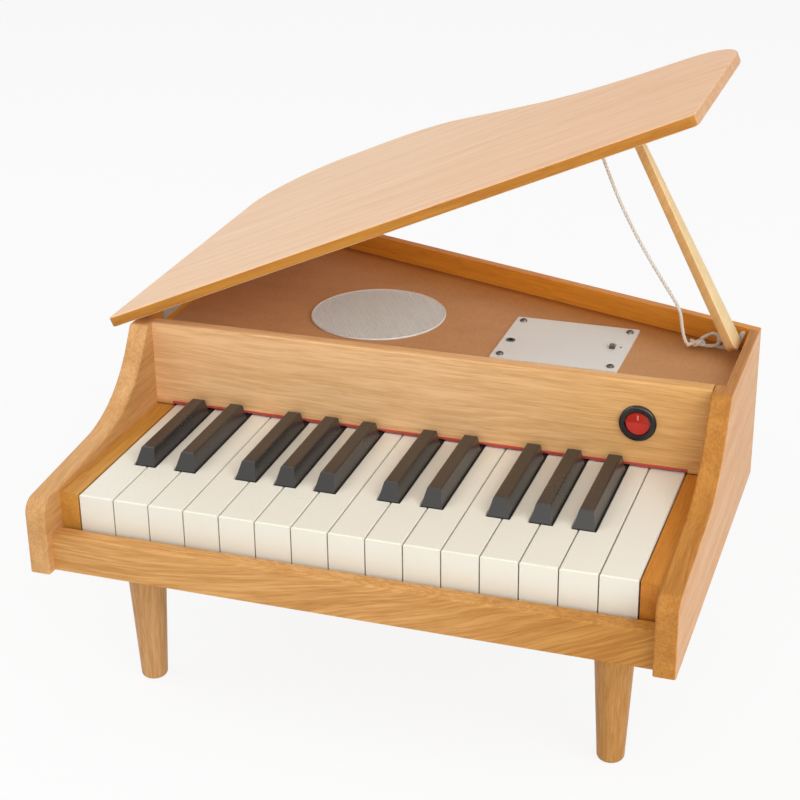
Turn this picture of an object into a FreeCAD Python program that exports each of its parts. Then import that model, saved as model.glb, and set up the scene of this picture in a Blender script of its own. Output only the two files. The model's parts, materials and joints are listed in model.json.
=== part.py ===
import FreeCAD, Part
import math
import os
import re
import Sketcher

# Toy mini grand piano. X runs to the player's right from the middle of the case, Y runs back
# from the fronts of the white keys and Z runs up from the floor. Lengths in mm, angles in degrees.
SIZES = (
    # case
    ("case_width", 380),
    ("case_height", 100),
    ("leg_length", 98),
    ("right_depth", 233.3),
    ("left_depth", 365),
    ("rim_wall", 6),
    ("arm_wall", 12.6),
    ("arm_front", 20),
    ("nose_rise", 1.5),
    ("nose_radius", 9.5),
    ("hollow_run", 29),
    ("hollow_rise", 10.6),
    ("hollow_radius", 78),
    ("arm_top_run", 14),
    ("arm_top_radius", 3),
    ("arm_ease", 1.5),
    ("board_wall", 6),
    ("slip_front", 13.5),
    ("slip_wall", 11),
    ("slip_drop", 21.3),
    ("slip_ease", 1.5),
    ("block_width", 11.8),
    ("block_gap", 0.6),
    # fallboard and its switch
    ("fall_front", 131),
    ("fall_wall", 8),
    ("fall_rise", 2.8),
    ("fall_ease", 1.5),
    ("felt_wall", 2.2),
    ("felt_lead", 0.8),
    ("switch_inset", 42.3),
    ("switch_gap", 0.2),
    ("bezel_radius", 11.2),
    ("bezel_lead", 2.4),
    ("bezel_ease", 1.2),
    ("barrel_radius", 8.5),
    ("barrel_reach", 6),
    ("barrel_clear", 0.1),
    ("bezel_bore", 7.8),
    ("rocker_radius", 7.3),
    ("rocker_reach", 2.6),
    ("rocker_lead", 1.6),
    ("rocker_dip", 1.2),
    ("rocker_angle", 6),
    ("rocker_pin_radius", 1.2),
    ("rocker_pin_clear", 0.1),
    # keys
    ("key_level", 44.5),
    ("key_gap", 0.8),
    ("key_height", 28),
    ("key_roof", 3),
    ("key_wall", 2),
    ("key_lap", 10),
    ("key_ease", 0.6),
    ("sharp_front", 46),
    ("sharp_setback", 5.5),
    ("sharp_base", 12.4),
    ("sharp_top", 8.2),
    ("sharp_rise", 9.6),
    ("sharp_rake", 6),
    ("sharp_rear_rake", 0.8),
    ("sharp_ease", 1),
    ("sharp_shift", 2.8),
    ("tail_reach", 12),
    ("tail_lap", 11),
    ("tail_width", 8),
    ("tail_drop", 5),
    ("tail_height", 12),
    ("pivot_gap", 19),
    ("pivot_drop", 11),
    ("rod_radius", 2),
    ("rod_fit", 0.05),
    ("rod_seat", 0.03),
    # key bed
    ("rail_depth", 24),
    ("rail_height", 14.5),
    ("ear_wall", 3),
    ("ear_width", 12),
    ("ear_cap", 4),
    ("rest_depth", 6),
    ("rest_gap", 0.1),
    ("stop_start", 4),
    ("stop_depth", 12),
    ("stop_height", 4.1),
    ("strip_start", 92),
    ("strip_depth", 14),
    ("strip_base", 3),
    ("strip_height", 8),
    ("strip_ridge", 6),
    # deck
    ("deck_drop", 14),
    ("deck_wall", 4),
    ("sound_radius", 22),
    ("grille_place", 56),
    ("grille_gap", 34.2),
    ("grille_radius", 44.3),
    ("grille_wall", 1),
    ("grille_rim", 2.2),
    ("grille_rise", 1.7),
    ("mesh_pitch", 7.8),
    ("mesh_radius", 2.6),
    ("basket_radius", 31),
    ("basket_neck", 17),
    ("basket_reach", 14),
    ("basket_wall", 1.5),
    ("magnet_radius", 20),
    ("magnet_height", 9),
    ("cone_radius", 24),
    ("cone_neck", 9),
    ("cone_reach", 10),
    ("cone_wall", 1),
    ("cone_gap", 0.2),
    # control plate
    ("plate_place", 73.15),
    ("plate_front_share", 0.671738),
    ("plate_width", 80.3),
    ("plate_length", 69.5),
    ("plate_wall", 1.2),
    ("plate_corner", 1.5),
    ("well_width", 77),
    ("well_length", 36),
    ("screw_spread", 34.9),
    ("screw_reach", 28.4),
    ("screw_head", 2.6),
    ("screw_rise", 1.3),
    ("screw_radius", 1.3),
    ("screw_length", 5),
    ("screw_fit", 0.05),
    ("jack_place", 34.35),
    ("jack_shift", 5.1),
    ("jack_width", 6.4),
    ("jack_length", 12),
    ("jack_collar", 2.9),
    ("jack_rise", 0.4),
    ("jack_bore", 1.75),
    ("jack_reach", 9),
    ("jack_fit", 0.1),
    ("knob_place", 29.45),
    ("knob_shift", 1.1),
    ("knob_width", 3),
    ("knob_length", 4),
    ("knob_rise", 2.2),
    ("knob_travel", 4),
    ("knob_fit", 0.2),
    ("circuit_drop", 10),
    ("circuit_wall", 1.6),
    ("circuit_width", 74),
    ("circuit_length", 32),
    ("housing_width", 8),
    ("housing_length", 14),
    ("chip_size", 12),
    ("chip_rise", 2),
    ("tray_front_share", 0.272662),
    ("tray_width", 66),
    ("tray_length", 40),
    ("tray_height", 18),
    ("tray_wall", 1.6),
    # lid and hinges
    ("lid_angle", 23.8),
    ("lid_wall", 6.8),
    ("lid_front_lap", 13.5),
    ("lid_left_lap", 14),
    ("lid_tail_lap", 21),
    ("lid_right_lap", 4.9),
    ("lid_right_depth", 307.6),
    ("lid_waist", 257),
    ("lid_waist_depth", 326.1),
    ("lid_tail", 107.9),
    ("lid_tail_depth", 430.5),
    ("lid_right_radius", 52),
    ("lid_waist_radius", 260),
    ("lid_tail_radius", 120),
    ("lid_left_radius", 62),
    ("lid_corner_radius", 4),
    ("lid_ease", 1.2),
    ("cord_hole_radius", 1.7),
    ("cord_hole_reach", 3),
    ("cord_hole_place", 292.1),
    ("cord_hole_depth", 213.5),
    ("hinge_rise", 2.1),
    ("hinge_front_gap", 21),
    ("hinge_rear_gap", 39.5),
    ("hinge_length", 27),
    ("leaf_wall", 1),
    ("leaf_drop", 12),
    ("leaf_span", 14),
    ("knuckle_radius", 2),
    ("knuckle_gap", 0.2),
    ("hinge_pin_radius", 1),
    ("hinge_pin_fit", 0.05),
    # prop
    ("prop_inset", 11.2),
    ("prop_rear_gap", 13.9),
    ("prop_rise", 12),
    ("prop_lean_angle", 27.7),
    ("prop_foot", 7),
    ("prop_foot_radius", 7.1),
    ("prop_foot_ease", 3),
    ("prop_top_radius", 3.3),
    ("prop_top_ease", 0.8),
    ("prop_clear", 0.4),
    ("prop_pin_radius", 1.5),
    ("prop_pin_fit", 0.05),
    ("prop_pin_reach", 4),
    ("prop_side_gap", 0.3),
    ("bracket_wall", 1.2),
    ("bracket_left", 10.3),
    ("bracket_foot", 4.5),
    ("bracket_right", 8.5),
    ("bracket_neck", 4),
    ("bracket_rise", 12.8),
    ("bracket_cap", 16),
    ("bracket_ease", 1.5),
    ("bracket_flange", 3.2),
    ("bracket_eye", 6.4),
    ("bracket_eye_drop", 8.3),
    ("bracket_eye_radius", 1.9),
    ("flange_left", 4.2),
    ("cord_radius", 1.1),
    ("knot_radius", 3),
    ("knot_length", 7),
    ("knot_ease", 1.6),
    # legs
    ("leg_inset", 31.9),
    ("leg_setback", 41.5),
    ("rear_leg_shift", 80),
    ("rear_leg_gap", 28.5),
    ("leg_top_radius", 13),
    ("leg_foot_radius", 8),
    ("leg_foot_ease", 3),
    ("stud_radius", 3),
    ("stud_reach", 20),
    ("stud_fit", 0.05),
    ("nut_radius", 5.8),
    ("nut_height", 4.5),
    # overrun of every cut
    ("overrun", 1),
)

WHITES = 15
MIDDLE = WHITES / 2
# place of each sharp: number of the white key to its left, and its shift as a share of sharp_shift
sharp_shift_shares = {1: -0.7, 2: 0.7, 4: -1, 5: 0, 6: 1, 8: -0.7, 9: 0.7, 11: -1, 12: 0, 13: 1}
# boundaries of white keys that have no sharp and so have room for an ear of the rail
EARS = (3, 7, 10, 14)
MESH_RINGS = 5

# Route of the cord: from the lid down to the knot, then the loop through the bracket's eye and back
CORD_RUN = (
    (84.4, 213.4, 320.9),
    (97.6, 213.0, 287.3),
    (114.8, 212.4, 255.7),
    (132.1, 211.8, 229.2),
    (143.0, 211.3, 213.3),
    (145.4, 211.2, 202.2),
    (147.6, 214.4, 195.0),
    (149.3, 218.0, 190.6),
    (152.4, 222.3, 188.3),
)
CORD_LOOP = (
    (154.8, 222.6, 187.0),
    (159.5, 223.2, 186.0),
    (165.2, 224.2, 186.8),
    (166.5, 231.0, 188.6),
    (161.5, 231.0, 192.6),
    (156.6, 227.6, 190.6),
    (154.0, 225.4, 189.4),
)

doc = FreeCAD.newDocument("ToyPiano")
sheet = doc.addObject("Spreadsheet::Sheet", "Sizes")
for row, (alias, size) in enumerate(SIZES, start=1):
    sheet.set("A%d" % row, alias)
    sheet.set("B%d" % row, str(size))
    sheet.setAlias("B%d" % row, alias)
doc.recompute()
NAMES = {alias for alias, size in SIZES}
pieces = []


def rule(text):
    """Turn the size names in a rule into references to the sheet."""
    return re.sub(r"[a-z_]+", lambda m: "Sizes." + m.group() if m.group() in NAMES else m.group(), text)


def size(alias):
    return float(sheet.get(alias))


def bind(obj, **rules):
    for name, text in rules.items():
        obj.setExpression(name, rule(text))


def place(obj, x="0", y="0", z="0"):
    for axis, text in zip("xyz", (x, y, z)):
        obj.setExpression("Placement.Base." + axis, rule(text))
    return obj


def turn(obj, axis, angle):
    """Turn an object about one of its own axes, the angle bound to the sheet."""
    obj.Placement = FreeCAD.Placement(FreeCAD.Vector(), FreeCAD.Rotation(axis, 45))
    obj.setExpression("Placement.Rotation.Angle", rule(angle))
    return obj


def keep(obj, label):
    obj.Label = label
    pieces.append(obj)
    return obj


X_AXIS = FreeCAD.Vector(1, 0, 0)
Y_AXIS = FreeCAD.Vector(0, 1, 0)


def block(name, x, y, z):
    """Box between pairs of rules."""
    box = doc.addObject("Part::Box", name)
    for prop, (low, high) in zip(("Length", "Width", "Height"), (x, y, z)):
        box.setExpression(prop, rule("(%s) - (%s)" % (high, low)))
    return place(box, x[0], y[0], z[0])


def post(name, x, y, z, radius, height):
    """Upright cylinder."""
    rod = doc.addObject("Part::Cylinder", name)
    bind(rod, Radius=radius, Height=height)
    return place(rod, x, y, z)


def rod_back(name, x, y, z, radius, length):
    """Cylinder that runs back along Y."""
    rod = doc.addObject("Part::Cylinder", name)
    bind(rod, Radius=radius, Height=length)
    rod.Placement = FreeCAD.Placement(FreeCAD.Vector(), FreeCAD.Rotation(X_AXIS, -90))
    return place(rod, x, y, z)


def rod_across(name, x, y, z, radius, length):
    """Cylinder that runs along X."""
    rod = doc.addObject("Part::Cylinder", name)
    bind(rod, Radius=radius, Height=length)
    rod.Placement = FreeCAD.Placement(FreeCAD.Vector(), FreeCAD.Rotation(Y_AXIS, 90))
    return place(rod, x, y, z)


def fuse(name, shapes):
    joined = doc.addObject("Part::MultiFuse", name)
    joined.Shapes = shapes
    joined.Refine = True
    return joined


def cut(name, base, tool):
    result = doc.addObject("Part::Cut", name)
    result.Base = base
    result.Tool = tool
    return result


def group(name, links):
    result = doc.addObject("Part::Compound", name)
    result.Links = links
    return result


def new_body(name):
    return doc.addObject("PartDesign::Body", name)


def sketch_on(body, role, lift="0"):
    """Sketch on an origin plane of the body, lifted along the plane's normal."""
    plane = next(f for f in body.Origin.OriginFeatures if f.Role == role)
    sketch = body.newObject("Sketcher::SketchObject", body.Name + "Sketch")
    sketch.AttachmentSupport = [(plane, "")]
    sketch.MapMode = "FlatFace"
    sketch.setExpression("AttachmentOffset.Base.z", rule(lift))
    return sketch


def pin_point(sketch, geometry, end, u, v, near):
    """Fix one point of a sketch by two rules."""
    for kind, text, start in (("DistanceX", u, near[0]), ("DistanceY", v, near[1])):
        index = sketch.addConstraint(Sketcher.Constraint(kind, -1, 1, geometry, end, start))
        sketch.setExpression("Constraints[%d]" % index, rule(text))


def outline(sketch, corners):
    """Closed outline of straight lines through corners given as rules."""
    first = sketch.GeometryCount
    count = len(corners)
    ring = [FreeCAD.Vector(math.cos(math.tau * i / count), math.sin(math.tau * i / count), 0)
            for i in range(count)]
    for i in range(count):
        sketch.addGeometry(Part.LineSegment(ring[i], ring[(i + 1) % count]), False)
    for i in range(count):
        after = first + (i + 1) % count
        sketch.addConstraint(Sketcher.Constraint("Coincident", first + i, 2, after, 1))
    for i, (u, v) in enumerate(corners):
        pin_point(sketch, first + i, 1, u, v, ring[i])
    return sketch


def ring_at(sketch, u, v, radius):
    """Circle given by rules."""
    first = sketch.GeometryCount
    start = FreeCAD.Vector()
    sketch.addGeometry(Part.Circle(start, FreeCAD.Vector(0, 0, 1), 1), False)
    pin_point(sketch, first, 3, u, v, start)
    index = sketch.addConstraint(Sketcher.Constraint("Radius", first, 1))
    sketch.setExpression("Constraints[%d]" % index, rule(radius))
    return sketch


def box_rules(x0, x1, y0, y1):
    return [(x0, y0), (x1, y0), (x1, y1), (x0, y1)]


def pad(body, sketch, length):
    feature = body.newObject("PartDesign::Pad", body.Name + "Pad")
    feature.Profile = sketch
    bind(feature, Length=length)
    return feature


def pocket_up(body, sketch, length):
    """Cut upwards from a sketch that lies under the material."""
    doc.recompute()
    before = body.Shape.Volume
    feature = body.newObject("PartDesign::Pocket", body.Name + "Pocket")
    feature.Profile = sketch
    feature.Reversed = True
    bind(feature, Length=length)
    doc.recompute()
    if body.Shape.Volume >= before:
        raise RuntimeError(body.Name + ": the pocket cuts nothing")
    return feature


def corner_edge(body, sketch, corner):
    """Name of the edge that the padding draws out of one corner of a sketch."""
    spot = sketch.getGlobalPlacement().multVec(sketch.Geometry[corner].StartPoint)
    along = sketch.getGlobalPlacement().Rotation.multVec(FreeCAD.Vector(0, 0, 1))
    shape = body.Shape
    for i, edge in enumerate(shape.Edges, start=1):
        if edge.Curve.TypeId != "Part::GeomLine":
            continue
        if abs(abs(edge.tangentAt(edge.FirstParameter).dot(along)) - 1) > 1e-6:
            continue
        gap = edge.Vertexes[0].Point - spot
        if (gap - along * gap.dot(along)).Length < 1e-4:
            return "Edge%d" % i
    raise RuntimeError(body.Name + ": no edge at corner %d" % corner)


def round_corners(body, sketch, radii):
    """Round chosen corners of a padded outline, each with its own radius."""
    for corner, radius in radii:
        doc.recompute()
        base = body.Tip
        name = corner_edge(body, sketch, corner)
        feature = body.newObject("PartDesign::Fillet", body.Name + "Round")
        feature.Base = (base, [name])
        bind(feature, Radius=radius)
    doc.recompute()


def ease(body, radius, chosen, kind="Fillet"):
    """Round or chamfer every edge that a test accepts."""
    doc.recompute()
    base = body.Tip
    names = ["Edge%d" % i for i, edge in enumerate(base.Shape.Edges, start=1) if chosen(edge)]
    feature = body.newObject("PartDesign::" + kind, body.Name + "Ease")
    feature.Base = (base, names)
    bind(feature, **{"Radius" if kind == "Fillet" else "Size": radius})
    doc.recompute()


def level(edge, z):
    """Whether an edge lies flat at one height."""
    return abs(edge.BoundBox.ZMin - z) < 1e-4 and abs(edge.BoundBox.ZMax - z) < 1e-4


# Levels and places shared by several pieces
TOP = "(leg_length + case_height)"
FLOOR_TOP = "(leg_length + board_wall)"
KEY_TOP = "(leg_length + key_level)"
KEY_FOOT = "(leg_length + key_level - key_height)"
DECK = "(leg_length + case_height - deck_drop)"
DECK_FOOT = "(leg_length + case_height - deck_drop - deck_wall)"
HALF = "(case_width / 2)"
ARM_IN = "(case_width / 2 - arm_wall)"
RIM_IN = "(case_width / 2 - rim_wall)"
FALL_BACK = "(fall_front + fall_wall)"
SLIP_BACK = "(slip_wall - slip_front)"
KEYS_HALF = "(case_width / 2 - arm_wall - block_width - block_gap)"
KEY_PITCH = "(%s / %g)" % (KEYS_HALF, MIDDLE)
KEY_BACK = "(fall_front + key_lap)"
PIVOT_Y = "(fall_front + key_lap + pivot_gap)"
SHARP_BACK = "(fall_front - sharp_setback)"
TAIL_BACK = "(fall_front + key_lap + pivot_gap + tail_reach)"
SWITCH_X = "(case_width / 2 - arm_wall - switch_inset)"
SWITCH_Z = "(%s - barrel_radius - switch_gap)" % DECK_FOOT
GRILLE_Y = "(fall_front + fall_wall + grille_gap + grille_radius)"
PROP_X = "(case_width / 2 - rim_wall - prop_inset)"
PROP_Z = "(%s + prop_rise)" % DECK
LEG_X = "(case_width / 2 - arm_wall - leg_inset)"
LEG_Y = "(slip_wall - slip_front + leg_setback)"
SLOPE = "((left_depth - right_depth) / case_width)"
REAR_RUN = "(rim_wall * sqrt(1 + %s ^ 2))" % SLOPE


def rear_outer(x):
    return "(right_depth + (case_width / 2 - (%s)) * %s)" % (x, SLOPE)


def rear_inner(x):
    return "(%s - %s)" % (rear_outer(x), REAR_RUN)


PROP_Y = "(%s - prop_rear_gap)" % rear_inner(PROP_X)
# The plate and the battery tray each share the room between what lies before them and the back
PLATE_ROOM = "(%s - %s - plate_length)" % (rear_inner("plate_place + plate_width / 2"), FALL_BACK)
PLATE_Y = "(%s + plate_front_share * %s + plate_length / 2)" % (FALL_BACK, PLATE_ROOM)
TRAY_ROOM = "(%s - %s - tray_length)" % (rear_inner("plate_place + tray_width / 2"), TAIL_BACK)
TRAY_Y = "(%s + tray_front_share * %s + tray_length / 2)" % (TAIL_BACK, TRAY_ROOM)

# Case sides: the arm beside the keys is a thick profile, the rim behind it a thin board
for label, sign in (("side_left", "-"), ("side_right", "")):
    body = new_body(label)
    arm_start = ARM_IN if sign == "" else "-" + HALF
    arm = outline(sketch_on(body, "YZ_Plane", arm_start), [
        ("-arm_front", "leg_length"),
        (FALL_BACK, "leg_length"),
        (FALL_BACK, TOP),
        (FALL_BACK + " - arm_top_run", TOP),
        (FALL_BACK + " - arm_top_run - hollow_run", KEY_TOP + " + hollow_rise"),
        ("-arm_front", KEY_TOP + " + nose_rise"),
    ])
    pad(body, arm, "arm_wall")
    round_corners(body, arm, [(3, "arm_top_radius"), (4, "hollow_radius"), (5, "nose_radius")])
    rim = outline(sketch_on(body, "XY_Plane", "leg_length"), [
        (sign + RIM_IN, "fall_front"),
        (sign + HALF, "fall_front"),
        (sign + HALF, rear_inner(HALF if sign == "" else "-" + HALF)),
        (sign + RIM_IN, rear_inner(RIM_IN if sign == "" else "-" + RIM_IN)),
    ])
    pad(body, rim, "case_height")
    bottom = size("leg_length")
    front_end = size("fall_front") + size("fall_wall")
    flank_in = size("case_width") / 2 - size("arm_wall")
    flank_out = size("case_width") / 2

    def on_flank(edge):
        bounds = edge.BoundBox
        near = min(abs(bounds.XMin), abs(bounds.XMax))
        far = max(abs(bounds.XMin), abs(bounds.XMax))
        if far - near > 1e-4 or bounds.ZMax < bottom + 1e-4:
            return False
        if abs(far - flank_in) < 1e-4:
            return bounds.YMin < front_end - 1e-4
        if abs(far - flank_out) < 1e-4:
            return bounds.YMin < front_end - 1e-4 and bounds.ZMax > bottom + 1e-4
        return False

    ease(body, "arm_ease", on_flank)
    keep(body, label)

# Slanting back of the case
body = new_body("rear_wall")
plan = outline(sketch_on(body, "XY_Plane", "leg_length"), [
    (HALF, rear_inner(HALF)),
    (HALF, rear_outer(HALF)),
    ("-" + HALF, rear_outer("-" + HALF)),
    ("-" + HALF, rear_inner("-" + HALF)),
])
pad(body, plan, "case_height")
keep(body, "rear_wall")

# Floor of the case, with a hole for each leg stud
LEGS = (
    ("leg_front_left", "-" + LEG_X, LEG_Y),
    ("leg_front_right", LEG_X, LEG_Y),
    ("leg_rear", "-rear_leg_shift", rear_inner("-rear_leg_shift") + " - rear_leg_gap"),
)
body = new_body("bottom_board")
plan = outline(sketch_on(body, "XY_Plane", "leg_length"), [
    ("-" + ARM_IN, SLIP_BACK),
    (ARM_IN, SLIP_BACK),
    (ARM_IN, FALL_BACK),
    (RIM_IN, FALL_BACK),
    (RIM_IN, rear_inner(RIM_IN)),
    ("-" + RIM_IN, rear_inner("-" + RIM_IN)),
    ("-" + RIM_IN, FALL_BACK),
    ("-" + ARM_IN, FALL_BACK),
])
for label, x, y in LEGS:
    ring_at(plan, x, y, "stud_radius + stud_fit")
pad(body, plan, "board_wall")
keep(body, "bottom_board")

# Rail below the key fronts
body = new_body("keyslip")
section = outline(sketch_on(body, "YZ_Plane", "-" + ARM_IN), [
    ("-slip_front", "leg_length"),
    (SLIP_BACK, "leg_length"),
    (SLIP_BACK, KEY_TOP + " - slip_drop"),
    ("-slip_front", KEY_TOP + " - slip_drop"),
])
pad(body, section, "2 * " + ARM_IN)
round_corners(body, section, [(2, "slip_ease"), (3, "slip_ease")])
keep(body, "keyslip")

# Blocks beside the end keys
blocks = []
for sign in ("-", ""):
    inner = "%s + block_gap" % KEYS_HALF
    ends = (inner, ARM_IN) if sign == "" else ("-" + ARM_IN, "-(%s)" % inner)
    blocks.append(block("key_block", ends, ("0", "fall_front"), (FLOOR_TOP, KEY_TOP)))
keep(group("key_blocks", blocks), "key_blocks")

# Fallboard with the switch hole, and the felt under it
body = new_body("fallboard_board")
section = outline(sketch_on(body, "YZ_Plane", "-" + ARM_IN), [
    ("fall_front", KEY_TOP + " + fall_rise"),
    (FALL_BACK, KEY_TOP + " + fall_rise"),
    (FALL_BACK, TOP),
    ("fall_front", TOP),
])
pad(body, section, "2 * " + ARM_IN)
round_corners(body, section, [(3, "fall_ease")])
hole = rod_back("switch_hole", SWITCH_X, "fall_front - overrun", SWITCH_Z,
                "barrel_radius + barrel_clear", "fall_wall + 2 * overrun")
keep(cut("fallboard", body, hole), "fallboard")
keep(block("nameboard_felt", ("-" + ARM_IN, ARM_IN), ("fall_front - felt_lead", FALL_BACK),
           (KEY_TOP + " + fall_rise - felt_wall", KEY_TOP + " + fall_rise")), "nameboard_felt")

# Round rocker switch
body = new_body("switch_ring")
half = outline(sketch_on(body, "XY_Plane"), [
    ("bezel_bore", "-bezel_lead"),
    ("bezel_radius", "-bezel_lead"),
    ("bezel_radius", "0"),
    ("barrel_radius", "0"),
    ("barrel_radius", "fall_wall + barrel_reach"),
    ("0", "fall_wall + barrel_reach"),
    ("0", "fall_wall + barrel_reach - rocker_pin_radius"),
    ("bezel_bore", "fall_wall + barrel_reach - rocker_pin_radius"),
])
spin = body.newObject("PartDesign::Revolution", "switch_ringSpin")
spin.Profile = half
spin.ReferenceAxis = (half, ["V_Axis"])
spin.Angle = 360
doc.recompute()
rim_edges = ["Edge%d" % i for i, edge in enumerate(spin.Shape.Edges, start=1)
             if abs(edge.BoundBox.YMax + size("bezel_lead")) < 1e-4
             and edge.BoundBox.XMax > size("bezel_bore") + 1e-4
             and edge.Curve.TypeId == "Part::GeomCircle"]
soften = body.newObject("PartDesign::Fillet", "switch_ringEase")
soften.Base = (spin, rim_edges)
bind(soften, Radius="bezel_ease")
place(body, SWITCH_X, "fall_front", SWITCH_Z)
keep(body, "switch_bezel")

body = new_body("rocker_face")
side = outline(sketch_on(body, "YZ_Plane", "-rocker_radius"), [
    ("-rocker_lead - rocker_dip", "-rocker_radius"),
    ("rocker_reach", "-rocker_radius"),
    ("rocker_reach", "rocker_radius"),
    ("-rocker_lead - rocker_dip", "rocker_radius"),
    ("-rocker_lead", "0"),
])
pad(body, side, "2 * rocker_radius")
disc = rod_back("rocker_disc", "0", "-rocker_lead - rocker_dip - overrun", "0", "rocker_radius",
                "rocker_lead + rocker_dip + rocker_reach + 2 * overrun")
face = doc.addObject("Part::MultiCommon", "rocker_round")
face.Shapes = [body, disc]
pin = rod_across("rocker_pin", "rocker_pin_clear - bezel_bore", "0", "0", "rocker_pin_radius",
                 "2 * (bezel_bore - rocker_pin_clear)")
rocker = turn(fuse("switch_rocker", [face, pin]), X_AXIS, "rocker_angle")
place(rocker, SWITCH_X, "fall_front + rocker_lead", SWITCH_Z)
keep(rocker, "switch_rocker")


def tail_of(body, start):
    """Narrow tail at the back of a key, with the hole for the rod."""
    side = outline(sketch_on(body, "YZ_Plane", start), box_rules(
        KEY_BACK + " - tail_lap", TAIL_BACK,
        "key_height - tail_drop - tail_height", "key_height - tail_drop"))
    ring_at(side, PIVOT_Y, "key_height - pivot_drop", "rod_radius + rod_fit")
    pad(body, side, "tail_width")


# White keys: hollow levers whose stems pass beside the sharps
SLOT = "(sharp_base / 2 + key_gap)"
NOTCH = "(sharp_front - key_gap)"
for number in range(1, WHITES + 1):
    left = "(key_gap / 2)"
    right = "(%s - key_gap / 2)" % KEY_PITCH
    stem_left, stem_right = left, right
    if number - 1 in sharp_shift_shares:
        stem_left = "(sharp_shift * %g + %s)" % (sharp_shift_shares[number - 1], SLOT)
    if number in sharp_shift_shares:
        stem_right = "(%s + sharp_shift * %g - %s)" % (KEY_PITCH, sharp_shift_shares[number], SLOT)

    def lever(inset):
        corners = [(left + " + " + inset, inset), (right + " - " + inset, inset)]
        if stem_right != right:
            corners += [(right + " - " + inset, NOTCH + " - " + inset),
                        (stem_right + " - " + inset, NOTCH + " - " + inset)]
        corners += [(stem_right + " - " + inset, KEY_BACK + " - " + inset),
                    (stem_left + " + " + inset, KEY_BACK + " - " + inset)]
        if stem_left != left:
            corners += [(stem_left + " + " + inset, NOTCH + " - " + inset),
                        (left + " + " + inset, NOTCH + " - " + inset)]
        return corners

    body = new_body("white_%02d" % number)
    pad(body, outline(sketch_on(body, "XY_Plane"), lever("0")), "key_height")
    height = size("key_height")
    ease(body, "key_ease", lambda edge: level(edge, height), "Chamfer")
    pocket_up(body, outline(sketch_on(body, "XY_Plane"), lever("key_wall")), "key_height - key_roof")
    tail_of(body, "(%s + %s - tail_width) / 2" % (stem_left, stem_right))
    place(body, "%s * %g" % (KEY_PITCH, number - 1 - MIDDLE), "0", KEY_FOOT)
    keep(body, "white_%02d" % number)

# Black keys
for number, (after, share) in enumerate(sorted(sharp_shift_shares.items()), start=1):
    body = new_body("black_%02d" % number)
    plan = box_rules("-sharp_base / 2", "sharp_base / 2", "sharp_front", KEY_BACK)
    pad(body, outline(sketch_on(body, "XY_Plane"), plan), "key_height")
    foot = outline(sketch_on(body, "XY_Plane", "key_height"), box_rules(
        "-sharp_base / 2", "sharp_base / 2", "sharp_front", SHARP_BACK))
    head = outline(sketch_on(body, "XY_Plane", "key_height + sharp_rise"), box_rules(
        "-sharp_top / 2", "sharp_top / 2", "sharp_front + sharp_rake", SHARP_BACK + " - sharp_rear_rake"))
    cap = body.newObject("PartDesign::AdditiveLoft", body.Name + "Cap")
    cap.Profile = foot
    cap.Sections = [head]
    cap.Ruled = True
    peak = size("key_height") + size("sharp_rise")
    ease(body, "sharp_ease", lambda edge: level(edge, peak))
    hollow = box_rules("key_wall - sharp_base / 2", "sharp_base / 2 - key_wall",
                       "sharp_front + key_wall", KEY_BACK + " - key_wall")
    pocket_up(body, outline(sketch_on(body, "XY_Plane"), hollow), "key_height - key_roof")
    tail_of(body, "-tail_width / 2")
    place(body, "%s * %g + sharp_shift * %g" % (KEY_PITCH, after - MIDDLE, share), "0", KEY_FOOT)
    keep(body, "black_%02d" % number)

# Rail with the ears that carry the rod, the rod, felts and contact strip
RAIL_HALF = "(%s + 3 * ear_wall)" % KEYS_HALF
body = new_body("balance_rail")
pad(body, outline(sketch_on(body, "YZ_Plane", "-" + RAIL_HALF), box_rules(
    PIVOT_Y + " - rail_depth / 2", PIVOT_Y + " + rail_depth / 2",
    FLOOR_TOP, FLOOR_TOP + " + rail_height")), "2 * " + RAIL_HALF)
ear_starts = ["%s * %g - ear_wall / 2" % (KEY_PITCH, ear - MIDDLE) for ear in EARS]
ear_starts += ["-%s - 2 * ear_wall" % KEYS_HALF, KEYS_HALF + " + ear_wall"]
for start in ear_starts:
    ear = outline(sketch_on(body, "YZ_Plane", start), box_rules(
        PIVOT_Y + " - ear_width / 2", PIVOT_Y + " + ear_width / 2",
        FLOOR_TOP, KEY_TOP + " - pivot_drop + ear_cap"))
    ring_at(ear, PIVOT_Y, KEY_TOP + " - pivot_drop", "rod_radius + rod_seat")
    pad(body, ear, "ear_wall")
keep(body, "balance_rail")
keep(rod_across("key_rod", "-" + RAIL_HALF, PIVOT_Y, KEY_TOP + " - pivot_drop", "rod_radius",
                "2 * " + RAIL_HALF), "key_rod")
stop = block("stop_felt", ("-" + KEYS_HALF, KEYS_HALF), ("stop_start", "stop_start + stop_depth"),
             (FLOOR_TOP, FLOOR_TOP + " + stop_height"))
rest = block("rest_felt", ("-" + KEYS_HALF, KEYS_HALF), (TAIL_BACK + " - rest_depth", TAIL_BACK),
             (FLOOR_TOP + " + rail_height", KEY_TOP + " - tail_drop - tail_height - rest_gap"))
slots = [block("felt_slot", (start + " - ear_wall", start + " + 2 * ear_wall"),
               (TAIL_BACK + " - rest_depth - overrun", TAIL_BACK + " + overrun"),
               (FLOOR_TOP + " + rail_height - overrun", KEY_TOP)) for start in ear_starts[:len(EARS)]]
keep(group("key_felts", [stop, cut("rest_felts", rest, group("felt_slots", slots))]), "key_felts")
body = new_body("contact_strip")
MID_STRIP = "strip_start + strip_depth / 2"
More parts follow.
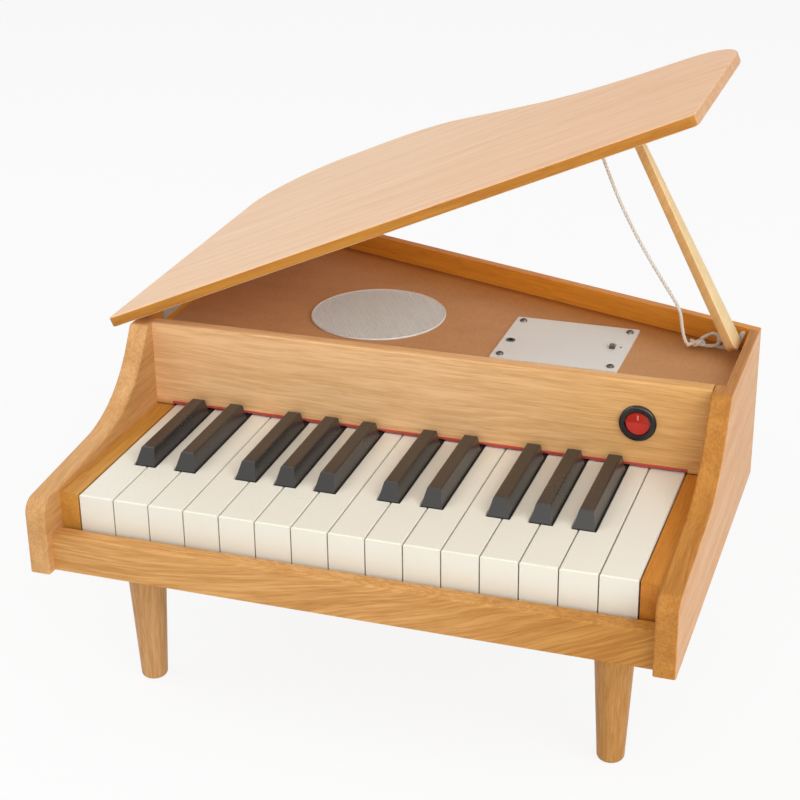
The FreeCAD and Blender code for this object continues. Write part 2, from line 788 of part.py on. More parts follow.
pad(body, outline(sketch_on(body, "YZ_Plane", "-" + KEYS_HALF), [
    ("strip_start", FLOOR_TOP),
    ("strip_start + strip_depth", FLOOR_TOP),
    ("strip_start + strip_depth", FLOOR_TOP + " + strip_base"),
    (MID_STRIP + " + strip_ridge / 2", FLOOR_TOP + " + strip_base"),
    (MID_STRIP + " + strip_ridge / 2", FLOOR_TOP + " + strip_height"),
    (MID_STRIP + " - strip_ridge / 2", FLOOR_TOP + " + strip_height"),
    (MID_STRIP + " - strip_ridge / 2", FLOOR_TOP + " + strip_base"),
    ("strip_start", FLOOR_TOP + " + strip_base"),
]), "2 * " + KEYS_HALF)
keep(body, "contact_strip")

# Deck with the sound hole, the well under the control plate and the screw holes
SCREWS = [("plate_place %s screw_spread" % a, PLATE_Y + " %s screw_reach" % b) for a in "+-" for b in "+-"]
body = new_body("soundboard")
plan = outline(sketch_on(body, "XY_Plane", DECK_FOOT), [
    ("-" + RIM_IN, FALL_BACK),
    (RIM_IN, FALL_BACK),
    (RIM_IN, rear_inner(RIM_IN)),
    ("-" + RIM_IN, rear_inner("-" + RIM_IN)),
])
ring_at(plan, "-grille_place", GRILLE_Y, "sound_radius")
outline(plan, box_rules("plate_place - well_width / 2", "plate_place + well_width / 2",
                        PLATE_Y + " - well_length / 2", PLATE_Y + " + well_length / 2"))
for x, y in SCREWS:
    ring_at(plan, x, y, "screw_radius + screw_fit")
pad(body, plan, "deck_wall")
keep(body, "soundboard")

# Perforated grille: rings of six-sided holes
body = new_body("speaker_grille")
pad(body, ring_at(sketch_on(body, "XY_Plane"), "0", "0", "grille_radius"), "grille_wall")
band = ring_at(sketch_on(body, "XY_Plane"), "0", "0", "grille_radius")
pad(body, ring_at(band, "0", "0", "grille_radius - grille_rim"), "grille_rise")
z_line = next(f for f in body.Origin.OriginFeatures if f.Role == "Z_Axis")
for ring in range(MESH_RINGS + 1):
    mesh = outline(sketch_on(body, "XY_Plane"), [
        ("mesh_pitch * %d + mesh_radius * cos(%d)" % (ring, turn_by), "mesh_radius * sin(%d)" % turn_by)
        for turn_by in range(0, 360, 60)])
    hole = pocket_up(body, mesh, "grille_wall + overrun")
    if ring:
        row = body.newObject("PartDesign::PolarPattern", "mesh_row")
        row.Originals = [hole]
        row.Axis = (z_line, [""])
        row.Angle = 360
        row.Occurrences = 6 * ring
        body.Tip = row
place(body, "-grille_place", GRILLE_Y, DECK)
keep(body, "speaker_grille")


def turned(label, corners):
    """Body of revolution about its own upright axis."""
    body = new_body(label)
    half = outline(sketch_on(body, "XZ_Plane"), corners)
    spin = body.newObject("PartDesign::Revolution", label + "Spin")
    spin.Profile = half
    spin.ReferenceAxis = (half, ["V_Axis"])
    spin.Angle = 360
    doc.recompute()
    return body


body = turned("speaker_frame", [
    ("sound_radius", "0"),
    ("sound_radius", "-basket_wall"),
    ("cone_radius + basket_wall", "-basket_wall"),
    ("basket_neck", "-basket_reach + basket_wall"),
    ("0", "-basket_reach + basket_wall"),
    ("0", "-basket_reach - magnet_height"),
    ("magnet_radius", "-basket_reach - magnet_height"),
    ("magnet_radius", "-basket_reach"),
    ("basket_neck + basket_wall", "-basket_reach"),
    ("basket_radius - basket_wall", "-basket_wall"),
    ("basket_radius", "-basket_wall"),
    ("basket_radius", "0"),
])
place(body, "-grille_place", GRILLE_Y, DECK_FOOT)
keep(body, "speaker_frame")
body = turned("speaker_cone", [
    ("cone_radius", "-basket_wall - cone_gap"),
    ("cone_neck", "-cone_reach"),
    ("0", "-cone_reach"),
    ("0", "-cone_reach - cone_wall"),
    ("cone_neck", "-cone_reach - cone_wall"),
    ("cone_radius", "-basket_wall - cone_gap - cone_wall"),
])
place(body, "-grille_place", GRILLE_Y, DECK_FOOT)
keep(body, "speaker_cone")

# Control plate, its screws, jack, slide knob, circuit board and battery tray
JACK_X = "(plate_place - jack_place)"
JACK_Y = "(%s - jack_shift)" % PLATE_Y
KNOB_X = "(plate_place + knob_place)"
KNOB_Y = "(%s + knob_shift)" % PLATE_Y
CIRCUIT = "(%s - circuit_drop)" % DECK
body = new_body("cover_plate")
plan = outline(sketch_on(body, "XY_Plane"), box_rules(
    "-plate_width / 2", "plate_width / 2", "-plate_length / 2", "plate_length / 2"))
for a in "+-":
    for b in "+-":
        ring_at(plan, a + "screw_spread", b + "screw_reach", "screw_radius + screw_fit")
ring_at(plan, "-jack_place", "-jack_shift", "jack_collar + jack_fit")
outline(plan, box_rules(
    "knob_place - knob_width / 2 - knob_fit", "knob_place + knob_width / 2 + knob_fit",
    "knob_shift - knob_length / 2 - knob_fit", "knob_shift + knob_length / 2 + knob_travel + knob_fit"))
pad(body, plan, "plate_wall")
round_corners(body, plan, [(corner, "plate_corner") for corner in range(4)])
place(body, "plate_place", PLATE_Y, DECK)
keep(body, "cover_plate")

screws = []
for x, y in SCREWS:
    body = turned("plate_screw", [
        ("0", "-screw_length"),
        ("screw_radius", "-screw_length"),
        ("screw_radius", "0"),
        ("screw_head", "0"),
        ("screw_head - screw_rise / 2", "screw_rise"),
        ("0", "screw_rise"),
    ])
    screws.append(place(body, x, y, DECK + " + plate_wall"))
keep(group("plate_screws", screws), "plate_screws")

shell = block("jack_shell", (JACK_X + " - jack_width / 2", JACK_X + " + jack_width / 2"),
              (JACK_Y + " - jack_length / 2", JACK_Y + " + jack_length / 2"), (CIRCUIT, DECK))
collar = post("jack_collar", JACK_X, JACK_Y, DECK, "jack_collar", "plate_wall + jack_rise")
bore = post("jack_bore", JACK_X, JACK_Y, DECK + " + plate_wall + jack_rise - jack_reach", "jack_bore",
            "jack_reach + overrun")
keep(cut("jack_socket", fuse("jack_body", [shell, collar]), bore), "jack_socket")
keep(block("slide_knob", (KNOB_X + " - knob_width / 2", KNOB_X + " + knob_width / 2"),
           (KNOB_Y + " - knob_length / 2", KNOB_Y + " + knob_length / 2"),
           (DECK, DECK + " + plate_wall + knob_rise")), "slide_knob")
card = block("circuit_card", ("plate_place - circuit_width / 2", "plate_place + circuit_width / 2"),
             (PLATE_Y + " - circuit_length / 2", PLATE_Y + " + circuit_length / 2"),
             (CIRCUIT + " - circuit_wall", CIRCUIT))
housing = block("switch_housing", (KNOB_X + " - housing_width / 2", KNOB_X + " + housing_width / 2"),
                (KNOB_Y + " + knob_travel / 2 - housing_length / 2",
                 KNOB_Y + " + knob_travel / 2 + housing_length / 2"), (CIRCUIT, DECK))
chip = block("circuit_chip", ("plate_place - chip_size / 2", "plate_place + chip_size / 2"),
             (PLATE_Y + " - chip_size / 2", PLATE_Y + " + chip_size / 2"), (CIRCUIT, CIRCUIT + " + chip_rise"))
keep(fuse("circuit_board", [card, housing, chip]), "circuit_board")
tray = block("tray_outer", ("plate_place - tray_width / 2", "plate_place + tray_width / 2"),
             (TRAY_Y + " - tray_length / 2", TRAY_Y + " + tray_length / 2"),
             (FLOOR_TOP, FLOOR_TOP + " + tray_height"))
inside = block("tray_inner",
               ("plate_place - tray_width / 2 + tray_wall", "plate_place + tray_width / 2 - tray_wall"),
               (TRAY_Y + " - tray_length / 2 + tray_wall", TRAY_Y + " + tray_length / 2 - tray_wall"),
               (FLOOR_TOP + " + tray_wall", FLOOR_TOP + " + tray_height + overrun"))
keep(cut("battery_box", tray, inside), "battery_box")

# Lid: drawn flat about the hinge line, then opened
HINGE_X = "(rim_wall + knuckle_radius - case_width / 2)"
HINGE_Z = "(%s + hinge_rise)" % TOP
HINGE_INSET = "(rim_wall + knuckle_radius)"
LID_FRONT = "(%s - lid_front_lap)" % FALL_BACK
LID_RIGHT = "(case_width - %s + lid_right_lap)" % HINGE_INSET
body = new_body("lid")
plan = outline(sketch_on(body, "XY_Plane", "knuckle_radius"), [
    ("-%s - lid_left_lap" % HINGE_INSET, LID_FRONT),
    (LID_RIGHT, LID_FRONT),
    (LID_RIGHT, "lid_right_depth"),
    ("lid_waist", "lid_waist_depth"),
    ("lid_tail", "lid_tail_depth"),
    ("-%s - lid_tail_lap" % HINGE_INSET, "lid_tail_depth"),
])
pad(body, plan, "lid_wall")
round_corners(body, plan, [
    (0, "lid_corner_radius"), (1, "lid_corner_radius"), (2, "lid_right_radius"),
    (3, "lid_waist_radius"), (4, "lid_tail_radius"), (5, "lid_left_radius")])
under = size("knuckle_radius")
over = under + size("lid_wall")
ease(body, "lid_ease", lambda edge: level(edge, under) or level(edge, over))
pocket_up(body, ring_at(sketch_on(body, "XY_Plane", "knuckle_radius"), "cord_hole_place", "cord_hole_depth",
                        "cord_hole_radius"), "cord_hole_reach")
turn(body, Y_AXIS, "-lid_angle")
place(body, HINGE_X, "0", HINGE_Z)
keep(body, "lid")

# Butt hinges: the case leaf carries the pin and the two outer knuckles
THIRD = "(hinge_length / 3)"
case_leaves = []
lid_leaves = []
HINGE_STARTS = (FALL_BACK + " + hinge_front_gap",
                rear_inner("-" + RIM_IN) + " - hinge_rear_gap - hinge_length")
for start in HINGE_STARTS:
    last = "%s + 2 * %s" % (start, THIRD)
    low = "-leaf_drop"
    leaf = block("case_leaf", ("-knuckle_radius", "leaf_wall - knuckle_radius"),
                 (start, start + " + hinge_length"), (low, "-knuckle_radius - knuckle_gap"))
    parts = [leaf]
    for first in (start, last):
        parts.append(block("case_tab", ("-knuckle_radius", "leaf_wall - knuckle_radius"),
                           (first, "%s + %s" % (first, THIRD)), (low, "0")))
        parts.append(rod_back("case_knuckle", "0", first, "0", "knuckle_radius", THIRD))
    parts.append(rod_back("hinge_pin", "0", start, "0", "hinge_pin_radius", "hinge_length"))
    case_leaves.append(fuse("case_hinge", parts))
    first = "%s + %s + knuckle_gap" % (start, THIRD)
    width = "%s - 2 * knuckle_gap" % THIRD
    flap = block("lid_leaf", ("knuckle_radius + knuckle_gap", "leaf_span"),
                 (start, start + " + hinge_length"), ("knuckle_radius - leaf_wall", "knuckle_radius"))
    tab = block("lid_tab", ("0", "leaf_span"), (first, "%s + %s" % (first, width)),
                ("knuckle_radius - leaf_wall", "knuckle_radius"))
    knuckle = rod_back("lid_knuckle", "0", first, "0", "knuckle_radius", width)
    bore = rod_back("lid_bore", "0", first + " - overrun", "0", "hinge_pin_radius + hinge_pin_fit",
                    width + " + 2 * overrun")
    lid_leaves.append(cut("lid_hinge", fuse("lid_hinge_metal", [flap, tab, knuckle]), bore))
keep(place(group("hinge_case_leaves", case_leaves), HINGE_X, "0", HINGE_Z), "hinge_case_leaves")
leaves = turn(group("hinge_lid_leaves", lid_leaves), Y_AXIS, "-lid_angle")
keep(place(leaves, HINGE_X, "0", HINGE_Z), "hinge_lid_leaves")

# Prop: its length follows from where its line meets the underside of the lid
REACH = ("((knuckle_radius + sin(lid_angle) * (%s - %s) - cos(lid_angle) * (%s - %s))"
         " / cos(prop_lean_angle - lid_angle))" % (PROP_X, HINGE_X, PROP_Z, HINGE_Z))
body = turned("prop_round", [
    ("0", "-prop_foot"),
    ("prop_foot_radius", "-prop_foot"),
    ("prop_top_radius", REACH + " - prop_clear"),
    ("0", REACH + " - prop_clear"),
])
foot_end = -size("prop_foot")
ease(body, "prop_foot_ease", lambda edge: level(edge, foot_end))
ease(body, "prop_top_ease", lambda edge: level(edge, edge.BoundBox.ZMin) and edge.BoundBox.ZMin > -foot_end)
hole = rod_back("prop_hole", "0", "-prop_pin_reach - prop_pin_fit", "0", "prop_pin_radius + prop_pin_fit",
                "prop_pin_reach + prop_foot_radius + overrun")
stick = turn(cut("prop_stick", body, hole), Y_AXIS, "-prop_lean_angle")
place(stick, PROP_X, PROP_Y, PROP_Z)
keep(stick, "prop_stick")

# Bracket behind the foot of the prop: sheet with an eye for the cord, flange on the deck and pin
body = new_body("bracket_sheet")
SHEET_Y = "(%s + prop_foot_radius + prop_side_gap)" % PROP_Y
metal = outline(sketch_on(body, "XZ_Plane"), [
    ("-bracket_left", "-prop_rise"),
    ("bracket_foot", "-prop_rise"),
    ("bracket_right", "bracket_rise - prop_rise"),
    ("bracket_neck", "bracket_cap - prop_rise"),
    ("-bracket_left", "bracket_cap - prop_rise"),
])
ring_at(metal, "-bracket_eye", "-bracket_eye_drop", "bracket_eye_radius")
pad(body, metal, "bracket_wall")
round_corners(body, metal, [(corner, "bracket_ease") for corner in (2, 3, 4)])
place(body, PROP_X, SHEET_Y + " + bracket_wall", PROP_Z)
flange = block("bracket_flange", (PROP_X + " - flange_left", PROP_X + " + bracket_foot"),
               (SHEET_Y, SHEET_Y + " + bracket_flange"), (DECK, DECK + " + bracket_wall"))
pin = rod_back("bracket_pin", PROP_X, PROP_Y + " - prop_pin_reach", PROP_Z, "prop_pin_radius",
               "prop_pin_reach + prop_foot_radius + prop_side_gap + bracket_wall")
keep(fuse("prop_bracket", [body, flange, pin]), "prop_bracket")


def path_of(points):
    """Straight runs joined by tangent arcs."""
    spots = [FreeCAD.Vector(*point) for point in points]
    edges = []
    start = spots[0]
    for before, corner, after in zip(spots, spots[1:], spots[2:]):
        come = (corner - before).normalize()
        leave = (after - corner).normalize()
        half_turn = come.getAngle(leave) / 2
        reach = 0.45 * min((corner - before).Length, (after - corner).Length)
        radius = reach / math.tan(half_turn)
        enter = corner - come * reach
        leave_at = corner + leave * reach
        inward = (leave - come).normalize()
        middle = corner + inward * (radius / math.cos(half_turn) - radius)
        edges.append(Part.LineSegment(start, enter).toShape())
        edges.append(Part.Arc(enter, middle, leave_at).toShape())
        print("cord bend radius %.1f" % radius)
        start = leave_at
    edges.append(Part.LineSegment(start, spots[-1]).toShape())
    return Part.Wire(edges)


def tube(points, radius):
    path = path_of(points)
    heading = FreeCAD.Vector(*points[1]) - FreeCAD.Vector(*points[0])
    ring = Part.Wire(Part.makeCircle(radius, FreeCAD.Vector(*points[0]), heading))
    solid = path.makePipeShell([ring], True, True)
    print("cord volume ratio %.4f" % (solid.Volume / (math.pi * radius ** 2 * path.Length)))
    return solid


run_end = FreeCAD.Vector(*CORD_RUN[-1])
run_way = (run_end - FreeCAD.Vector(*CORD_RUN[-2])).normalize()
knot_end = run_end - run_way * size("knot_length") / 2
knot = Part.makeCylinder(size("knot_radius"), size("knot_length"), knot_end, run_way)
rims = [edge for edge in knot.Edges if edge.Curve.TypeId == "Part::GeomCircle"]
knot = knot.makeFillet(size("knot_ease"), rims)
cord = doc.addObject("Part::Feature", "lid_cord")
hanging = knot.fuse(tube(CORD_RUN, size("cord_radius")))
cord.Shape = Part.makeCompound([hanging, tube(CORD_LOOP, size("cord_radius"))])
keep(cord, "lid_cord")

# Turned legs and the studs that hold them
studs = []
for label, x, y in LEGS:
    body = turned(label, [
        ("0", "0"),
        ("leg_foot_radius", "0"),
        ("leg_top_radius", "leg_length"),
        ("stud_radius + stud_fit", "leg_length"),
        ("stud_radius + stud_fit", "leg_length - stud_reach - stud_fit"),
        ("0", "leg_length - stud_reach - stud_fit"),
    ])
    ease(body, "leg_foot_ease", lambda edge: level(edge, 0))
    place(body, x, y, "0")
    keep(body, label)
    screw = post("stud_screw", x, y, "leg_length - stud_reach", "stud_radius",
                 "stud_reach + board_wall + nut_height")
    nut = doc.addObject("Part::Prism", "stud_nut")
    nut.Polygon = 6
    bind(nut, Circumradius="nut_radius", Height="nut_height")
    place(nut, x, y, FLOOR_TOP)
    studs.append(fuse("leg_stud", [screw, nut]))
keep(group("leg_studs", studs), "leg_studs")

doc.recompute()
for obj in doc.Objects:
    if "Invalid" in obj.State or "Error" in obj.State:
        raise RuntimeError("%s is in state %s" % (obj.Name, obj.State))
for piece in pieces:
    if piece.Shape.isNull() or not piece.Shape.isValid():
        raise RuntimeError(piece.Label + " has no valid shape")

# The part's own origin is on the floor, under the middle of its box without the cord
whole = Part.makeCompound([piece.Shape for piece in pieces if piece.Label != "lid_cord"])
box = whole.optimalBoundingBox(False, False)
shift = FreeCAD.Vector(-box.Center.x, -box.Center.y, -box.ZMin)
print("box %s shift %s" % (box, shift))
os.makedirs("parts", exist_ok=True)
for piece in pieces:
    shape = piece.Shape.copy()
    shape.translate(shift)
    shape.exportStep(os.path.join("parts", piece.Label + ".step"))
    print("%s %.1f mm3, %d solids" % (piece.Label, shape.Volume, len(shape.Solids)))
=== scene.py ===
import json
import math

import bmesh
import bpy
from mathutils import Euler, Matrix, Vector


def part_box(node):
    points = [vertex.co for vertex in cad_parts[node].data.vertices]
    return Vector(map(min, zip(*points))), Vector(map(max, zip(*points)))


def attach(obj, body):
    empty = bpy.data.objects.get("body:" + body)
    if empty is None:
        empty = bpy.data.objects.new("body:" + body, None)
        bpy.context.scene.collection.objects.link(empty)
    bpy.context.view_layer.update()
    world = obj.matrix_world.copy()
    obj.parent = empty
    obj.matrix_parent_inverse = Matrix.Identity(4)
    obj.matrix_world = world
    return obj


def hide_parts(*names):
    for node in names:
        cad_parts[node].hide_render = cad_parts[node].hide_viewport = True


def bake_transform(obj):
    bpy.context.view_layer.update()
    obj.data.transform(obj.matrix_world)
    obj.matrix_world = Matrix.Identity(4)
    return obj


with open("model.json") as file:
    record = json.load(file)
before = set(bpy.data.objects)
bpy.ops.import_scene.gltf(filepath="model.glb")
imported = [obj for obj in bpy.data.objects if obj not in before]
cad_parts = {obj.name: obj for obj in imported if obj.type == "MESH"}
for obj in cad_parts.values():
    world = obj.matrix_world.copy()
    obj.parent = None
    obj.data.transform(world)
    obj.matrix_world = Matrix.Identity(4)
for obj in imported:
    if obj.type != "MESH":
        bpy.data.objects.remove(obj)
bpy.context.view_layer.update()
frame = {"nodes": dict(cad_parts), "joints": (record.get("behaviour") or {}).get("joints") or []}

# Toy mini grand piano. Sizes and places are millimetres, and MM brings them to the scene's metres.
nodes = frame["nodes"]
scene = bpy.context.scene
scene.view_settings.view_transform = "Standard"
MM = 0.001

# Where the middle of the case and the key fronts lie in the frame, to three places of a millimetre
PLACES = 3
CASE_MIDDLE = round((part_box("side_left")[0].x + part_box("side_right")[1].x) / 2 / MM, PLACES)
KEY_FRONTS = round(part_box("white_01")[0].y / MM, PLACES)


def spot(x, y, z):
    """Point given from the middle of the case, the key fronts and the floor."""
    return Vector((x + CASE_MIDDLE, y + KEY_FRONTS, z)) * MM


def measured(point):
    """Point of the frame in the measures that spot takes."""
    return [round(length / MM - start, PLACES) for length, start in zip(point, (CASE_MIDDLE, KEY_FRONTS, 0))]


def hinge_place(name):
    """Where a hinge's axis lies."""
    return measured(next(joint["pos_m"] for joint in frame["joints"] if joint["name"] == name))


# Case: its half width and the depths of its sides, its rims, its slanting back, and the deck between the rims
CASE_HALF = measured(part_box("side_right")[1])[0]
LEFT_DEPTH = measured(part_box("rear_wall")[1])[1]
RIGHT_DEPTH = 233.3
RIM_FACE, _, DECK = measured(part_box("soundboard")[1])
RIM_START = 139.5
BACK_WALL = 6
BACK_SLANT = math.atan((LEFT_DEPTH - RIGHT_DEPTH) / (2 * CASE_HALF))
LEFT_X = spot(-CASE_HALF, 0, 0).x
MIDDLE_X = spot(0, 0, 0).x
RIGHT_X = spot(CASE_HALF, 0, 0).x
BACK_FACE = (Matrix.Rotation(BACK_SLANT, 3, "Z") @ spot(CASE_HALF, RIGHT_DEPTH, 0)).y


def linked(name, data):
    """Object in the scene that holds a mesh, a curve, a lamp or a camera."""
    made = bpy.data.objects.new(name, data)
    scene.collection.objects.link(made)
    return made


# Camera at the photograph's place: turned down and to the left, and a little rolled
CAMERA_PLACE = (317.162, -824.407, 626.101)
CAMERA_DOWN = 0.4270089
CAMERA_LEFT = 0.3320187
CAMERA_ROLL = -0.0138789
camera_data = bpy.data.cameras.new("camera")
camera_data.lens = 81.697
camera_data.sensor_width = 36
camera = linked("camera", camera_data)
camera.location = spot(*CAMERA_PLACE)
aim = Euler((math.pi / 2 - CAMERA_DOWN, 0, CAMERA_LEFT)).to_matrix() @ Matrix.Rotation(CAMERA_ROLL, 3, "Z")
camera.rotation_euler = aim.to_euler()
scene.camera = camera

# Making pieces: faces that meet at more than this angle keep a sharp edge
CREASE = math.radians(30)


def to_mesh(source, name):
    """Mesh object that takes the place of a curve or of an object with modifiers."""
    bpy.context.view_layer.update()
    graph = bpy.context.evaluated_depsgraph_get()
    mesh = bpy.data.meshes.new_from_object(source.evaluated_get(graph))
    bpy.data.objects.remove(source)
    mesh.name = name
    return linked(name, mesh)


def loose(name, form, *modifiers):
    """Object made from a form, with modifiers given as their kind and settings carried out."""
    mesh = bpy.data.meshes.new(name)
    form.to_mesh(mesh)
    form.free()
    made = linked(name, mesh)
    for kind, settings in modifiers:
        added = made.modifiers.new(kind.lower(), kind)
        for setting, value in settings.items():
            setattr(added, setting, value)
    return to_mesh(made, name) if modifiers else made


def without(tool):
    """Modifier that cuts a tool's shape away."""
    return "BOOLEAN", {"operation": "DIFFERENCE", "object": tool}


def drop(*helpers):
    """Take helping objects out of the scene."""
    for helper in helpers:
        bpy.data.objects.remove(helper)


def piece(name, form, body, node=None):
    """Smooth piece made from a form, set on a body and perhaps standing in for a node."""
    for face in form.faces:
        face.smooth = True
    made = loose(name, form)
    made.data.set_sharp_from_angle(angle=CREASE)
    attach(made, body)
    if node:
        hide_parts(node)
    return made


def move(form, way):
    bmesh.ops.translate(form, verts=form.verts[:], vec=way)


def rotate(form, angle, axis):
    bmesh.ops.rotate(form, verts=form.verts[:], matrix=Matrix.Rotation(angle, 3, axis))


def add_block(form, size, place=Matrix()):
    """Block about a place."""
    bmesh.ops.create_cube(form, size=MM, matrix=place @ Matrix.Diagonal((*size, 1)))


def add_round(form, low, high, length, segments, place=Matrix()):
    """Round block about a place, with its lower and its upper radius."""
    bmesh.ops.create_cone(form, cap_ends=True, segments=segments, radius1=low * MM, radius2=high * MM,
                          depth=length * MM, matrix=place)


def round_over(form, parts, radius, segments, affect="EDGES"):
    """Round edges, or the corners of a flat outline."""
    bmesh.ops.bevel(form, geom=parts, offset=radius * MM, segments=segments, profile=0.5, affect=affect,
                    material=-1)


def edges_where(form, test):
    """Edges whose two ends both pass a test of their place."""
    return [edge for edge in form.edges if all(test(vertex.co) for vertex in edge.verts)]


def runs_across(edge):
    """Whether an edge runs from left to right."""
    return abs(edge.verts[0].co.x - edge.verts[1].co.x) > MM


def points_of(parts):
    """Points among the parts that an operator gives back."""
    return [part for part in parts if isinstance(part, bmesh.types.BMVert)]


# Cord from the lid to its knot and round through the eye of the prop's bracket
CORD_ROUTE = (
    (84.4, 213.4, 320.9),
    (97.6, 212.4, 287.3),
    (114.8, 210.6, 255.9),
    (132.2, 208.2, 230.6),
    (143.5, 206.6, 215.4),
    (145.2, 206.0, 204.8),
    (147.0, 205.5, 197.0),
    (149.4, 206.4, 191.9),
    (151.0, 214.0, 191.0),
    (152.4, 220.6, 188.6),
    (154.8, 222.6, 187.0),
    (159.5, 223.2, 186.0),
    (165.2, 224.2, 186.8),
    (166.5, 231.0, 188.6),
    (161.5, 231.0, 192.6),
    (156.6, 227.6, 190.6),
    (154.0, 225.4, 189.4),
)
TAIL_ROUTE = ((153, 222.3, 188), (151, 222.6, 188.4), (148.6, 221.6, 187), (146.6, 220.4, 185.6))
CORD_WIDTH = 2.2 * MM
CORD_STEPS = 48
STRANDS = 3
STRAND_PITCH = 7.5 * MM
STRAND_RADIUS = CORD_WIDTH * 0.25
KNOT_MIDDLE = (152.6, 222.6, 187.7)
KNOT_SPREAD = (1.75, 1.1, 1.68)
KNOT_POINTS = 10
KNOT_STEPS = 12
KNOT_RADIUS = CORD_WIDTH * 0.46


def new_curve(name, radius=0, roundness=0):
    """Curve without lines yet, as thick as its radius says."""
    data = bpy.data.curves.new(name, "CURVE")
    data.dimensions = "3D"
    data.bevel_depth = radius
    data.bevel_resolution = roundness
    data.use_fill_caps = radius > 0
    return data


def lay_line(data, points, steps, closed=False):
    """Add a smooth line with given control points to a curve."""
    line = data.splines.new("NURBS")
    line.points.add(len(points) - 1)
    for point, place in zip(line.points, points):
        point.co = (*place, 1)
    line.order_u = 3
    line.use_endpoint_u = not closed
    line.use_cyclic_u = closed
    line.resolution_u = steps


def line_points(points, steps):
    """Points read from the smooth line of a route."""
    data = new_curve("guide")
    lay_line(data, points, steps)
    guide = to_mesh(linked("guide", data), "guide")
    found = [vertex.co.copy() for vertex in guide.data.vertices]
    drop(guide)
    return found


def rope(name, line):
    """Rope of round strands laid round a line of points."""
    lay_radius = CORD_WIDTH / 2 - STRAND_RADIUS
    data = new_curve(name, STRAND_RADIUS, roundness=2)
    for strand in range(STRANDS):
        way = (line[1] - line[0]).normalized()
        side = way.orthogonal().normalized()
        run = 0
        laid = data.splines.new("POLY")
        laid.points.add(len(line) - 1)
        for number, place in enumerate(line):
            if number:
                step = place - line[number - 1]
                run += step.length
                side = step.normalized().rotation_difference(way).inverted() @ side
                way = step.normalized()
            angle = math.tau * (run / STRAND_PITCH + strand / STRANDS)
            offset = Matrix.Rotation(angle, 3, way) @ side * lay_radius
            laid.points[number].co = (*(place + offset), 1)
    return to_mesh(linked(name, data), name)


def tied(name):
    """Knot: a loop that crosses itself three times, with the cord's tail standing out."""
    loop = []
    for number in range(KNOT_POINTS):
        t = math.tau * number / KNOT_POINTS
        swing = (math.sin(t) + 2 * math.sin(2 * t), math.cos(t) - 2 * math.cos(2 * t), -math.sin(3 * t))
        offset = Vector([spread * share for spread, share in zip(KNOT_SPREAD, swing)]) * MM
        loop.append(spot(*KNOT_MIDDLE) + offset)
    data = new_curve(name, KNOT_RADIUS, roundness=4)
    lay_line(data, loop, KNOT_STEPS, closed=True)
    lay_line(data, [spot(*point) for point in TAIL_ROUTE], KNOT_STEPS)
    return to_mesh(linked(name, data), name)


cord_line = line_points([spot(*point) for point in CORD_ROUTE], CORD_STEPS)
cord = rope("lid_cord_rope", cord_line)
knot = tied("lid_cord_knot")
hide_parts("lid_cord")
spot(152.4, 222.3, 192)
spot(84.4, 213.4, 320)
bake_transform(cord)
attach(knot, "case")

# Speaker grille: fine six-sided perforation inside a rounded rim, over grey cloth
GRILLE = (-56, 217.5)
GRILLE_RADIUS = 44.3
RIM_WIDTH = 1.5
RIM_RISE = 1.5
MESH_TOP = 1.2 * MM
MESH_WALL = 0.5 * MM
MESH_PITCH = 2.3 * MM
MESH_BAR = 0.5 * MM
MESH_ROW = MESH_PITCH * math.sqrt(3)
MESH_EDGE = (GRILLE_RADIUS - RIM_WIDTH * 0.6) * MM
MESH_ACROSS = 20
MESH_BACK = 12
MESH_WELD = 0.02 * MM
CLOTH_RADIUS = 43
CLOTH_WALL = 0.4
CLOTH_LIFT = 0.25
cell = bmesh.new()
bmesh.ops.create_circle(cell, cap_ends=True, segments=6, radius=MESH_PITCH / math.sqrt(3))
bmesh.ops.inset_individual(cell, faces=cell.faces[:], thickness=MESH_BAR, use_even_offset=True)
hole = min(cell.faces, key=lambda face: face.calc_center_median().length)
bmesh.ops.delete(cell, geom=[hole], context="FACES_ONLY")
twin = bmesh.ops.duplicate(cell, geom=cell.verts[:] + cell.edges[:] + cell.faces[:])["geom"]
bmesh.ops.translate(cell, verts=points_of(twin), vec=(MESH_PITCH / 2, MESH_ROW / 2, 0))
move(cell, (-MESH_ACROSS * MESH_PITCH, -MESH_BACK * MESH_ROW, 0))
by_distance = {"use_relative_offset": False, "use_constant_offset": True}
lattice = loose(
    "lattice", cell,
    ("ARRAY", {**by_distance, "count": 2 * MESH_ACROSS + 1, "constant_offset_displace": (MESH_PITCH, 0, 0)}),
    ("ARRAY", {**by_distance, "count": 2 * MESH_BACK + 1, "constant_offset_displace": (0, MESH_ROW, 0)}))
grille = bmesh.new()
grille.from_mesh(lattice.data)
drop(lattice)
bmesh.ops.remove_doubles(grille, verts=grille.verts[:], dist=MESH_WELD)
beyond = [face for face in grille.faces if face.calc_center_median().length > MESH_EDGE]
bmesh.ops.delete(grille, geom=beyond, context="FACES")
bmesh.ops.solidify(grille, geom=grille.faces[:], thickness=MESH_WALL)
move(grille, (0, 0, MESH_TOP - max(vertex.co.z for vertex in grille.verts)))
rim = bmesh.ops.create_circle(grille, segments=16, radius=MM)["verts"]
rim_edges = list({edge for vertex in rim for edge in vertex.link_edges})
bmesh.ops.scale(grille, verts=rim, vec=(RIM_WIDTH / 2, RIM_RISE / 2, 1))
bmesh.ops.rotate(grille, verts=rim, matrix=Matrix.Rotation(math.pi / 2, 3, "X"))
bmesh.ops.translate(grille, verts=rim, vec=Vector((GRILLE_RADIUS - RIM_WIDTH / 2, 0, RIM_RISE / 2)) * MM)
bmesh.ops.spin(grille, geom=rim + rim_edges, cent=(0, 0, 0), axis=(0, 0, 1), angle=math.tau, steps=96,
               use_merge=True)
bmesh.ops.recalc_face_normals(grille, faces=grille.faces[:])
move(grille, spot(*GRILLE, DECK))
grille = piece("grille_mesh", grille, "case", node="speaker_grille")
